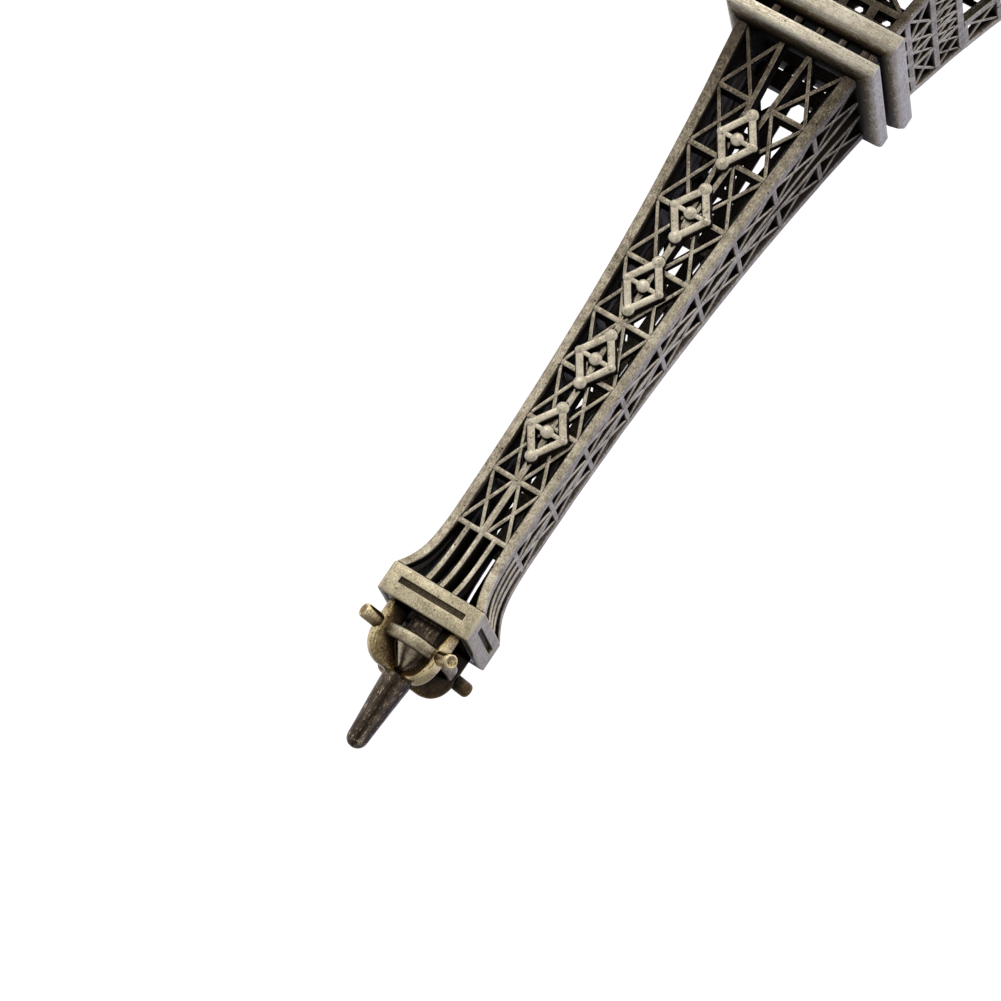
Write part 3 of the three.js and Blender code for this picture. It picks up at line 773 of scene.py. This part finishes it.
def middle_band(side):
    wall = Wall(middle_half)
    band = Casting()
    low, high = BAND_LOW.z, BAND_HIGH.z + 0.3 * MM
    if side in WITH_CORNER_BARS:
        for sign in (-1, 1):
            corner_bar(band, spread(low, high, 5), lambda z: (sign * middle_half(z), -middle_half(z)),
                       (-sign, 1), lambda z: BAND_BAR, 0.6 * MM, (FACE, FACE, RECESS))
    edge = lambda z: middle_half(z) - 1.0 * MM
    head, sill, waist, hem = high - 0.6 * MM, BAND_SILL, BAND_WAIST, low + 0.8 * MM
    for z, width in ((head, 1.2 * MM), (sill, 1.4 * MM), (waist, 1.4 * MM), (hem, 1.6 * MM)):
        wall.bar(band, [(-edge(z), z), (edge(z), z)], width, 1.9 * MM, 0.25 * MM, 0.06 * MM)
    for i in range(4):
        u = (i - 1.5) * WINDOW_PITCH
        wall.bar(band, [(u, sill), (u, head)], 1.8 * MM, 1.8 * MM, 0.2 * MM, 0.1 * MM)

    split = lambda z: middle_half(z) * BAND_SPLIT
    outer = lambda z: middle_half(z) - BAND_BAR
    upper = (waist + 0.6 * MM, sill - 0.6 * MM)
    lower = (hem + 0.7 * MM, waist - 0.6 * MM)
    wall.bar(band, [(0, hem), (0, sill)], 0.9 * MM, 1.8 * MM, 0.2 * MM, 0.12 * MM)
    for sign in (-1, 1):
        wall.bar(band, [(sign * split(hem), hem), (sign * split(sill), sill)],
                 1.0 * MM, 1.8 * MM, 0.2 * MM, 0.1 * MM)

        def cell(row, inner, outer, width, recess):
            wall.cross(band, *row, lambda z: sign * inner(z), lambda z: sign * outer(z),
                       width, 1.6 * MM, recess)

        def share(inner, outer, t):
            return lambda z: inner(z) + (outer(z) - inner(z)) * t

        nothing = lambda z: 0.0
        cell(upper, split, outer, 0.75 * MM, 0.25 * MM)
        cell(upper, nothing, split, 0.65 * MM, 0.27 * MM)
        for near, far in ((0.0, 0.5), (0.5, 1.0)):
            cell(lower, share(split, outer, near), share(split, outer, far), 0.55 * MM, 0.28 * MM)
            cell(lower, share(nothing, split, near), share(nothing, split, far), 0.5 * MM, 0.3 * MM)
    return band


def add_middle_bands():
    for k, side in enumerate(SIDES):
        make_piece(f"middle_band_{side}", middle_band(side).turned(k), BRASS, middle_slab_shadow)


# ---------- Shaft ----------

SPINE_SPLIT = 144 * MM
SPINE_FOOT = 3.0 * MM
SPINE_POWER = 1.3
SPINE_WIDTH = 1.3 * MM
CHORD_WIDTH = 1.05 * MM
RAIL_WIDTH = 1.1 * MM
BRACE_WIDTH = 0.78 * MM
PANEL_DEPTH = 2.3 * MM
# The insides of the far panels show through the near ones, and are not quite dark.
PANEL_BACK = 0.3
FLARE_PITCH = 2.95 * MM
# Each side's bars in the flare, as (place across, draft). Most nearly close their slots inside; one
# in front and one behind are slim, so that light shows beside the corner bar.
FLARE_BARS = {side: [(-FLARE_PITCH, 0.42), (0.0, 0.42), (FLARE_PITCH, 0.42)] for side in SIDES}
FLARE_BARS["front"][0] = (-FLARE_PITCH, 0.2)
FLARE_BARS["back"][:2] = [(-FLARE_PITCH, 0.6), (-0.14 * MM, 0.2)]


def spine_offset(z):
    down = max(0.0, (SPINE_SPLIT - z) / (SPINE_SPLIT - SECOND_DECK))
    return SPINE_FOOT * down ** SPINE_POWER


def shaft_bar_size(z):
    down = clamp((SHAFT_TOP - z) / (SHAFT_TOP - SECOND_DECK))
    return (2.05 + 0.5 * down ** 2) * MM


def shaft_bar_draft(z):
    """The bars are stout inside, and slim again in the flare."""
    return (0.85 - 0.7 * clamp((z - SHAFT_TOP) / (4 * MM))) * MM


def shaft_panel(side):
    wall = Wall(shaft_half)
    panel = Casting()
    top = BOX_LOW.z
    levels = spread(SECOND_DECK, FLARE_BOTTOM, 27) + spread(FLARE_BOTTOM, top, 16)[1:]
    if side in WITH_CORNER_BARS:
        for sign in (-1, 1):
            corner_bar(panel, levels, lambda z: (sign * shaft_half(z), -shaft_half(z)),
                       (-sign, 1), shaft_bar_size, 0.6 * MM, (FACE, FACE, RECESS), shaft_bar_draft)
    outer = lambda z: shaft_half(z) - shaft_bar_size(z) + 0.1 * MM
    inner = lambda z: max(SPINE_WIDTH, 2 * spine_offset(z) + CHORD_WIDTH) / 2 - 0.1 * MM
    for sign in (-1, 1):
        path = [(sign * spine_offset(z), z) for z in spread(SECOND_DECK, SPINE_SPLIT, 10)]
        wall.bar(panel, path, CHORD_WIDTH, PANEL_DEPTH, 0.22 * MM, (0.06 + 0.02 * sign) * MM)
    spine = [(0, SPINE_SPLIT - 4 * MM), (0, SHAFT_TOP)]
    wall.bar(panel, spine, SPINE_WIDTH, PANEL_DEPTH, 0.25 * MM, 0.03 * MM, draft=0.2, back=PANEL_BACK)
    for i in range(1, SHAFT_BAYS + 1):
        z = shaft_level(i)
        start = inner(z) if spine_offset(z) > 0.8 * MM else 0.0
        for sign in (-1, 1):
            wall.bar(panel, [(sign * start, z), (sign * outer(z), z)],
                     RAIL_WIDTH, PANEL_DEPTH, 0.22 * MM, 0.12 * MM, back=PANEL_BACK)
    for i in range(SHAFT_BAYS):
        low = shaft_level(i) + (0.3 * MM if i == 0 else 0.2 * MM)
        high = shaft_level(i + 1) - 0.2 * MM
        for sign in (-1, 1):
            wall.cross(panel, low, high, lambda z: sign * inner(z), lambda z: sign * outer(z),
                       BRACE_WIDTH, 1.3 * MM, 0.26 * MM, draft=0.1, back=PANEL_BACK)
    for u, draft in FLARE_BARS[side]:
        path = [(u, z) for z in spread(SHAFT_TOP, top, 12)]
        wall.bar(panel, path, 1.0 * MM, PANEL_DEPTH, 0.25 * MM, 0.05 * MM, pace=1.2 * MM, draft=draft)
    return panel


def shaft_gloom(p):
    """The shaft is darker towards its foot and on its right side."""
    right = clamp(p.x / (5 * MM))
    foot = clamp((140 * MM - p.z) / (46 * MM)) ** 1.5
    return 0.03 + 0.06 * right + 0.48 * foot


def add_shaft():
    for k, side in enumerate(SIDES):
        make_piece(f"shaft_panel_{side}", shaft_panel(side).turned(k), BRASS, shaft_gloom)


# ---------- Ornaments ----------

ORNAMENT_COUNT = 5
ORNAMENT_FACE = 0.9
ORNAMENT_PROUD = 1.4 * MM
ORNAMENT_STROKE = 1.5 * MM
END_BEAD, SIDE_BEAD, BOSS = 1.35 * MM, 0.9 * MM, 1.35 * MM
BEAD_SEGMENTS = 28


def bead(casting, wall, u, z, radius):
    """A low dome standing on the wall."""
    top = -ORNAMENT_PROUD
    profile = ((1.0, 0.2 * MM, RECESS), (1.0, top + 0.3 * MM, WALL), (0.97, top + 0.12 * MM, EDGE),
               (0.86, top - 0.02 * MM, EDGE), (0.5, top - 0.14 * MM, ORNAMENT_FACE),
               (0.04, top - 0.18 * MM, ORNAMENT_FACE))
    angles = spread(0, 2 * math.pi, BEAD_SEGMENTS)[:-1]
    rings = [
        [wall.at(u + radius * share * math.cos(a), z + radius * share * math.sin(a), depth)
         for a in angles]
        for share, depth, _ in profile
    ]
    casting.shell(rings, [[wear_and_shading] * BEAD_SEGMENTS for _, _, wear_and_shading in profile])


def add_ornaments():
    wall = Wall(shaft_half)
    for i in range(1, ORNAMENT_COUNT + 1):
        low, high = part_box(f"ornament_{i}")
        middle = (low.z + high.z) / 2
        half_height = (high.z - low.z) / 2 - END_BEAD
        half_width = (high.x - low.x) / 2 - SIDE_BEAD
        ornament = Casting()
        lozenge = [(half_width, middle), (0, middle + half_height),
                   (-half_width, middle), (0, middle - half_height)]
        wall.bar(ornament, lozenge, ORNAMENT_STROKE, ORNAMENT_PROUD + 0.2 * MM, 0.25 * MM,
                 -ORNAMENT_PROUD, closed=True, face=ORNAMENT_FACE, pace=1.6 * MM)
        reach = half_width - SIDE_BEAD
        wall.bar(ornament, [(-reach, middle), (reach, middle)], 1.0 * MM, ORNAMENT_PROUD, 0.22 * MM,
                 0.1 * MM - ORNAMENT_PROUD, face=ORNAMENT_FACE)
        bead(ornament, wall, 0, middle, BOSS)
        for sign in (-1, 1):
            bead(ornament, wall, 0, middle + sign * half_height, END_BEAD)
            bead(ornament, wall, sign * half_width, middle, SIDE_BEAD)
        make_piece(f"ornament_{i}", ornament, BRASS)


# ---------- Gallery box ----------

SLOT_WIDTH, SLOT_HEIGHT, SLOT_DEPTH = 14.5 * MM, 1.3 * MM, 0.9 * MM
SLOT_LIFT = 2.25 * MM
# The slots' dull floor: patina with painted shade.
SLOT_PATINA_AND_SHADE = 0.22


def slot_cutter(half, low):
    cutter = Casting()
    bottom = low + SLOT_LIFT
    front, back = -half - 1 * MM, SLOT_DEPTH - half
    end = SLOT_WIDTH / 2
    outline = [(-end, front), (end, front), (end, back), (-end, back)]
    levels = (bottom, bottom + SLOT_HEIGHT)
    block = Casting()
    block.shell([[Vector((x, y, z)) for x, y in outline] for z in levels], [[0] * 4] * 2)
    for k in range(4):
        cutter.join(block.turned(k))
    return cutter


def plain_object(name, casting):
    mesh = bpy.data.meshes.new(name)
    mesh.from_pydata(casting.points, [], casting.faces)
    face_outwards(mesh)
    made = bpy.data.objects.new(name, mesh)
    bpy.context.scene.collection.objects.link(made)
    return made


def box_wear_and_shading(point, normal, half):
    """Wear and painted light on the gallery box: bright outside and on the edges, there partly a
    painted highlight; darker inwards on top, dull in the slots and darkest under their tops, as patina
    with painted shade.
    """
    reach = max(abs(point.x), abs(point.y))
    if normal.z > 0.8:
        return clamp(EDGE - (half - 0.35 * MM - reach) / (0.7 * MM), 0.03, EDGE)
    if reach < half - 0.6 * MM:
        return SLOT_PATINA_AND_SHADE if normal.z > -0.8 else 0.02
    if max(abs(normal.x), abs(normal.y)) < 0.97:
        return EDGE
    return FACE - 0.01


def add_box():
    half = BOX_HIGH.x
    low, high = BOX_LOW.z, BOX_HIGH.z
    deck_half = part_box("gallery_deck")[1].x + 0.1 * MM
    foot, lip, corner = 0.65 * MM, 0.28 * MM, 0.7 * MM
    rounding = [(math.cos(a), math.sin(a)) for a in spread(0, math.pi / 2, 4)]
    profile = [(deck_half, low, 0.3 * MM, 0)]
    profile += [(half - foot + foot * s, low + foot - foot * c, corner, 0) for c, s in rounding]
    profile += [(half - lip + lip * c, high - lip + lip * s, corner, 0) for c, s in rounding]
    profile.append((deck_half, high - 0.08 * MM, 0.3 * MM, 0))
    body = Casting()
    square_body(body, profile, closed=True)
    shell = plain_object("box_shell", body)
    cutter = plain_object("slot_cutter", slot_cutter(half, low))
    cut = shell.modifiers.new("slots", "BOOLEAN")
    cut.operation = "DIFFERENCE"
    cut.solver = "EXACT"
    cut.object = cutter
    soften = shell.modifiers.new("soften", "BEVEL")
    soften.width = 0.1 * MM
    soften.segments = 2
    soften.limit_method = "ANGLE"
    soften.angle_limit = math.radians(60)
    graph = bpy.context.evaluated_depsgraph_get()
    mesh = bpy.data.meshes.new_from_object(shell.evaluated_get(graph))
    mesh.name = "gallery_box_cast"
    wear_and_shading = mesh.attributes.new("wear_and_shading", "FLOAT", "CORNER")
    for polygon in mesh.polygons:
        for loop in polygon.loop_indices:
            point = mesh.vertices[mesh.loops[loop].vertex_index].co
            wear_and_shading.data[loop].value = box_wear_and_shading(point, polygon.normal, half)
    bpy.data.objects.remove(cutter)
    bpy.data.objects.remove(shell)
    finish_piece("gallery_box", mesh, BOX_BRASS)

    deck = Casting()
    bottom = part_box("gallery_deck")[0].z
    # The deck's top is darker inwards from its rim: patina with painted shade.
    square_body(deck, [
        (deck_half - 0.1 * MM, bottom, 0.4 * MM, RECESS),
        (deck_half - 0.1 * MM, DECK_TOP - 0.1 * MM, 0.4 * MM, RECESS),
        (deck_half - 0.2 * MM, DECK_TOP, 0.4 * MM, 0.2),
        (deck_half - 2.5 * MM, DECK_TOP, 0.4 * MM, 0.25),
        (deck_half - 5.0 * MM, DECK_TOP, 0.4 * MM, 0.1),
    ])
    make_piece("gallery_deck", deck, DARK_BRONZE)


# ---------- Cupola ----------

DRUM_HALF = 3.2 * MM
DISC_BOTTOM, DISC_TOP = 226.8 * MM, 228.3 * MM
# A rib's post and quarter arch: distances from the axis, and the height where the arch starts.
RIB_OUTER, RIB_POST, RIB_THROAT, RIB_CENTRE = 10.3 * MM, 5.8 * MM, 4.8 * MM, 5.05 * MM
RIB_SHOULDER = 229.5 * MM
RIB_THICKNESS, RIB_ROUNDING = 2.7 * MM, 0.95 * MM
BEACON_RADIUS, BEACON_START, BEACON_END, BEACON_HEIGHT = 1.5 * MM, 9.9 * MM, 14.0 * MM, 228.3 * MM
MAST_BASE, MAST_TIP = 3.05 * MM, 2.1 * MM
# The ends of a turned body close in a point this wide.
POINT = 0.05 * MM
# Streaks down the mast, partly wear and partly painted reflections and shade: where round it, how
# wide, in degrees, and how much more or less rubbed.
MAST_WEAR_AND_REFLECTIONS = (
    (-134, 13, 0.15), (-104, 15, -0.18), (-77, 7, 0.13), (-50, 16, 0.04), (-163, 8, -0.12),
    (-20, 14, -0.1), (15, 12, 0.12), (60, 15, -0.12), (95, 9, 0.12), (130, 18, -0.1), (170, 10, 0.08),
)


def cupola_back_shade(p):
    """Painted shade: the back half of the cupola is darker."""
    return 0.32 if p.y > 0 else 0.0


def rib_plate(outline, wear_and_shading):
    """A well rounded plate on a diagonal, its outline in (distance from the axis, height)."""
    bm = bmesh.new()
    face = bm.faces.new([bm.verts.new((r, -RIB_THICKNESS / 2, z)) for r, z in outline])
    grown = bmesh.ops.extrude_face_region(bm, geom=[face])["geom"]
    far_side = [v for v in grown if isinstance(v, bmesh.types.BMVert)]
    bmesh.ops.translate(bm, vec=(0, RIB_THICKNESS, 0), verts=far_side)
    rims = [e for e in bm.edges if abs(e.verts[0].co.y - e.verts[1].co.y) < 0.01 * MM]
    bmesh.ops.bevel(bm, geom=rims, offset=RIB_ROUNDING, segments=6, profile=0.5, affect="EDGES",
                    clamp_overlap=True)
    spin = Matrix.Rotation(TO_FRONT_LEFT, 3, "Z")
    bm.verts.index_update()
    plate = Casting()
    plate.points = [spin @ v.co for v in bm.verts]
    plate.wear_and_shading = [wear_and_shading(v.co) for v in bm.verts]
    plate.faces = [tuple(v.index for v in f.verts) for f in bm.faces]
    bm.free()
    return plate


def add_ribs():
    ring_low, ring_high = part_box("cupola_ring")
    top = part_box("cupola_rib_front_left")[1].z
    arch = RIB_OUTER - RIB_CENTRE
    outline = [(RIB_POST, DECK_TOP), (RIB_OUTER, DECK_TOP), (RIB_OUTER, RIB_SHOULDER - 3 * MM)]
    outline += [(RIB_CENTRE + arch * math.cos(a), RIB_SHOULDER + arch * math.sin(a))
                for a in spread(0, math.pi / 2, 12)]
    outline += [(2.2 * MM, top), (1.7 * MM, top - 1.8 * MM), (RIB_THROAT, ring_high.z + 0.2 * MM),
                (RIB_POST, ring_low.z)]

    def wear_and_shading(co):
        """Painted highlight with wear along the ridge, painted shade darkening towards the axis,
        darkest on the post's sides below the ring.
        """
        reach = math.hypot(max(0.0, co.x - RIB_CENTRE), max(0.0, co.z - RIB_SHOULDER)) / arch
        ridge = clamp((reach - 0.8) / 0.2) * clamp(co.x / (3 * MM))
        post = 0.32 * clamp((ring_low.z - co.z) / (1 * MM))
        side = 0.24 + 0.44 * clamp(reach) ** 2.5
        return side + (EDGE - 0.12 - side) * ridge - post

    rib = rib_plate(outline, wear_and_shading)
    make_four("cupola_rib", CORNERS, rib, GILT_BRONZE, cupola_back_shade)


def add_ring():
    low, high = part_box("cupola_ring")
    middle = (low.z + high.z) / 2
    section = bar_section(high.z - low.z, 1.1 * MM, 0.75 * MM, draft=0.0)
    rings = [
        [Vector(((high.x - deep) * math.cos(a), (high.x - deep) * math.sin(a), middle + across))
         for across, deep, _ in section]
        for a in spread(0, 2 * math.pi, 72)[:-1]
    ]
    ring = Casting()
    ring.shell(rings, [[max(wear_and_shading, 0.35) for _, _, wear_and_shading in section]] * len(rings), closed=True)
    # Painted shade: the ring darkens towards its top, and its lower half stays light as though lit
    # from below.
    make_piece("cupola_ring", ring, BRASS,
               lambda p: 0.04 + 0.34 * clamp((p.z - middle) / (1.2 * MM)))


def add_drum():
    """A square core, a disc on it and a blunt cone that reaches up into the mast."""
    disc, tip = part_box("cupola_drum")[1].x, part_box("cupola_drum")[1].z
    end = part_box("antenna_mast")[0].z + 0.3 * MM
    # The core is darker where it meets the deck and the disc, and the disc darkest underneath: patina
    # with painted shade.
    drum = Casting()
    square_body(drum, [
        (DRUM_HALF, DECK_TOP, 0.35 * MM, 0.2),
        (DRUM_HALF, DECK_TOP + 0.6 * MM, 0.35 * MM, 0.5),
        (DRUM_HALF, DISC_BOTTOM - 0.4 * MM, 0.35 * MM, 0.5),
        (DRUM_HALF, DISC_BOTTOM + 0.1 * MM, 0.35 * MM, 0.2),
    ])
    turned_body(drum, [
        (POINT, DISC_BOTTOM, 0.1),
        (disc, DISC_BOTTOM, 0.1),
        (disc + 0.2 * MM, DISC_BOTTOM + 0.2 * MM, 0.3),
        (disc + 0.2 * MM, DISC_TOP - 0.2 * MM, 0.3),
        (disc, DISC_TOP, 0.45),
        (4.4 * MM, DISC_TOP, 0.7),
        (4.0 * MM, DISC_TOP + 0.15 * MM, 0.84),
        (1.5 * MM, tip, 0.84),
        (1.2 * MM, end, 0.6),
        (POINT, end, 0.6),
    ], 48)
    make_piece("cupola_drum", drum, DRUM_BRONZE)


def add_beacons():
    start, end = BEACON_START, BEACON_END
    lay = Matrix.Translation((0, 0, BEACON_HEIGHT)) @ Matrix.Rotation(TO_FRONT_LEFT, 4, "Z")
    lay = lay @ Matrix.Rotation(math.pi / 2, 4, "Y")
    stub = Casting()
    # Darker where it leaves the rib, as painted shade, and brightest on the rim, a worn edge with a
    # painted highlight.
    turned_body(stub, [
        (POINT, start, 0.2),
        (BEACON_RADIUS, start, 0.2),
        (BEACON_RADIUS, start + 0.9 * MM, 0.5),
        (BEACON_RADIUS, start + 1.8 * MM, 0.72),
        (BEACON_RADIUS, end - 0.75 * MM, 0.8),
        (BEACON_RADIUS * 0.97, end - 0.35 * MM, 0.9),
        (BEACON_RADIUS * 0.88, end - 0.1 * MM, EDGE),
        (BEACON_RADIUS * 0.76, end, EDGE),
        (BEACON_RADIUS * 0.62, end - 0.08 * MM, 0.75),
        (BEACON_RADIUS * 0.4, end - 0.28 * MM, 0.65),
        (0.03 * MM, end - 0.36 * MM, 0.65),
    ], 32, lay)
    make_four("beacon", CORNERS, stub, GILT_BRONZE, cupola_back_shade)


def mast_wear_and_reflections(p):
    """The mast is rubbed in long streaks, partly painted reflections and shade, which waver a little
    on their way up.
    """
    angle = math.degrees(math.atan2(p.y, p.x)) + 5 * noise.noise(Vector((0, 0, p.z * 260)))
    gloom = 0.0
    for at, width, gain in MAST_WEAR_AND_REFLECTIONS:
        off = (angle - at + 180) % 360 - 180
        gloom -= gain * math.exp(-(off / width) ** 2)
    return gloom


def add_mast():
    low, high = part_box("antenna_mast")
    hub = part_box("cupola_rib_front_left")[1].z
    tip = high.z - MAST_TIP
    profile = [(POINT, low.z - 0.2 * MM, 0.1), (1.3 * MM, low.z, 0.2),
               (2.5 * MM, low.z + 0.8 * MM, 0.3), (MAST_BASE, hub - 0.2 * MM, 0.4)]
    for t in spread(0.03, 1.0, 30):
        profile.append((MAST_BASE + (MAST_TIP - MAST_BASE) * t, hub + (tip - hub) * t, 0.45))
    for angle in spread(0, math.pi / 2, 8)[1:-1]:
        profile.append((MAST_TIP * math.cos(angle), tip + MAST_TIP * math.sin(angle), 0.62))
    profile.append((0.03 * MM, high.z, 0.62))
    mast = Casting()
    turned_body(mast, profile, 72)
    make_piece("antenna_mast", mast, DARK_BRONZE, mast_wear_and_reflections)


# ---------- Stage, light and camera ----------

FLOOR_RADIUS = 90.0
FLOOR_COLOUR, FLOOR_GLOW = (0.85, 0.85, 0.85, 1), 0.75


def add_stage():
    """A white floor that is lost in the white behind it."""
    mesh = bpy.data.meshes.new("floor")
    bm = bmesh.new()
    bmesh.ops.create_circle(bm, cap_ends=True, segments=96, radius=FLOOR_RADIUS)
    bm.to_mesh(mesh)
    bm.free()
    floor = bpy.data.objects.new("floor", mesh)
    bpy.context.scene.collection.objects.link(floor)
    material = bpy.data.materials.new("floor_white")
    material.use_nodes = True
    shader = material.node_tree.nodes["Principled BSDF"]
    shader.inputs["Base Color"].default_value = FLOOR_COLOUR
    shader.inputs["Roughness"].default_value = 0.9
    shader.inputs["Emission Color"].default_value = (1, 1, 1, 1)
    shader.inputs["Emission Strength"].default_value = FLOOR_GLOW
    mesh.materials.append(material)
    floor.visible_glossy = False
    floor.visible_shadow = False


# The world's colours. The camera itself sees plain white.
COOL, DIM, WARM = (0.6, 0.6, 0.76, 1), (0.36, 0.35, 0.38, 1), (0.84, 0.81, 0.75, 1)
OVERHEAD, UNDERNEATH = (0.2, 0.19, 0.18, 1), (1.5, 1.42, 1.3, 1)
SOFT_SIDE, PERSON, LAMP = (0.95, 0.91, 0.86, 1), (0.1, 0.09, 0.08, 1), (2.6, 2.45, 2.2, 1)
BACKDROP = (1.1, 1.1, 1.1, 1)


def add_light():
    """A studio: warm white in front and underneath, cool grey behind, darker overhead."""
    world = bpy.data.worlds.new("studio")
    bpy.context.scene.world = world
    world.use_nodes = True
    tree = world.node_tree
    direction = node(tree, "ShaderNodeTexCoord").outputs["Generated"]
    split = node(tree, "ShaderNodeSeparateXYZ")
    feed(tree, split.inputs[0], direction)
    height = split.outputs["Z"]

    def part(amount, share):
        return maths(tree, "MULTIPLY", amount, share)

    def spot(towards, edge, middle):
        facing = node(tree, "ShaderNodeVectorMath", operation="DOT_PRODUCT")
        feed(tree, facing.inputs[0], direction)
        facing.inputs[1].default_value = Vector(towards).normalized()
        return between(tree, facing.outputs["Value"], edge, middle)

    colour = mixed(tree, between(tree, height, -0.1, 0.5), COOL, DIM)
    colour = mixed(tree, between(tree, split.outputs["Y"], 0.05, -0.85), colour, WARM)
    colour = mixed(tree, part(between(tree, height, 0.1, 0.8), 0.5), colour, OVERHEAD)
    colour = mixed(tree, part(between(tree, height, -0.35, -0.9), 0.6), colour, UNDERNEATH)
    # Soft light on the right keeps the sides that the photograph doesn't show from going grey.
    colour = mixed(tree, part(spot((0.9, 0.35, -0.2), 0.5, 0.92), 0.8), colour, SOFT_SIDE)
    # Where the photographer stands the studio is dark, and a lamp shines from low on the right.
    colour = mixed(tree, part(spot((-0.294, -0.936, 0.195), 0.92, 0.99), 0.8), colour, PERSON)
    colour = mixed(tree, spot((0.45, -0.8, -0.4), 0.97, 0.99), colour, LAMP)

    seen = node(tree, "ShaderNodeLightPath").outputs["Is Camera Ray"]
    colour = mixed(tree, seen, colour, BACKDROP)
    feed(tree, tree.nodes["Background"].inputs["Color"], colour)
    tree.nodes["Background"].inputs["Strength"].default_value = 1.0


# The camera's place and what it looks at, in millimetres, and its lens, found by least squares.
CAMERA_PLACE, CAMERA_TARGET = Vector((-204.6, -660.9, 333.0)), Vector((2.76, 0.06, 195.59))
CAMERA_ROLL = math.radians(-146.0)
CAMERA_LENS = 135.06


def add_camera():
    data = bpy.data.cameras.new("camera")
    data.lens = CAMERA_LENS
    data.sensor_width = 36
    data.clip_start = 0.01
    data.clip_end = 200
    camera = bpy.data.objects.new("camera", data)
    bpy.context.scene.collection.objects.link(camera)
    place = CAMERA_PLACE * MM
    look = (CAMERA_TARGET * MM - place).normalized()
    level = look.cross(Vector((0, 0, 1))).normalized()
    axes = Matrix((level, level.cross(look), -look)).transposed()
    turned = axes @ Matrix.Rotation(CAMERA_ROLL, 3, "Z")
    camera.matrix_world = Matrix.Translation(place) @ turned.to_4x4()
    bpy.context.scene.camera = camera


add_camera()
add_light()
add_stage()
add_feet()
add_legs()
add_arches()
add_floor("first_floor", 11)
add_middle_bands()
add_floor("second_floor", 5)
add_shaft()
add_ornaments()
add_box()
add_ribs()
add_ring()
add_drum()
add_beacons()
add_mast()
bpy.context.scene.view_settings.view_transform = "Standard"
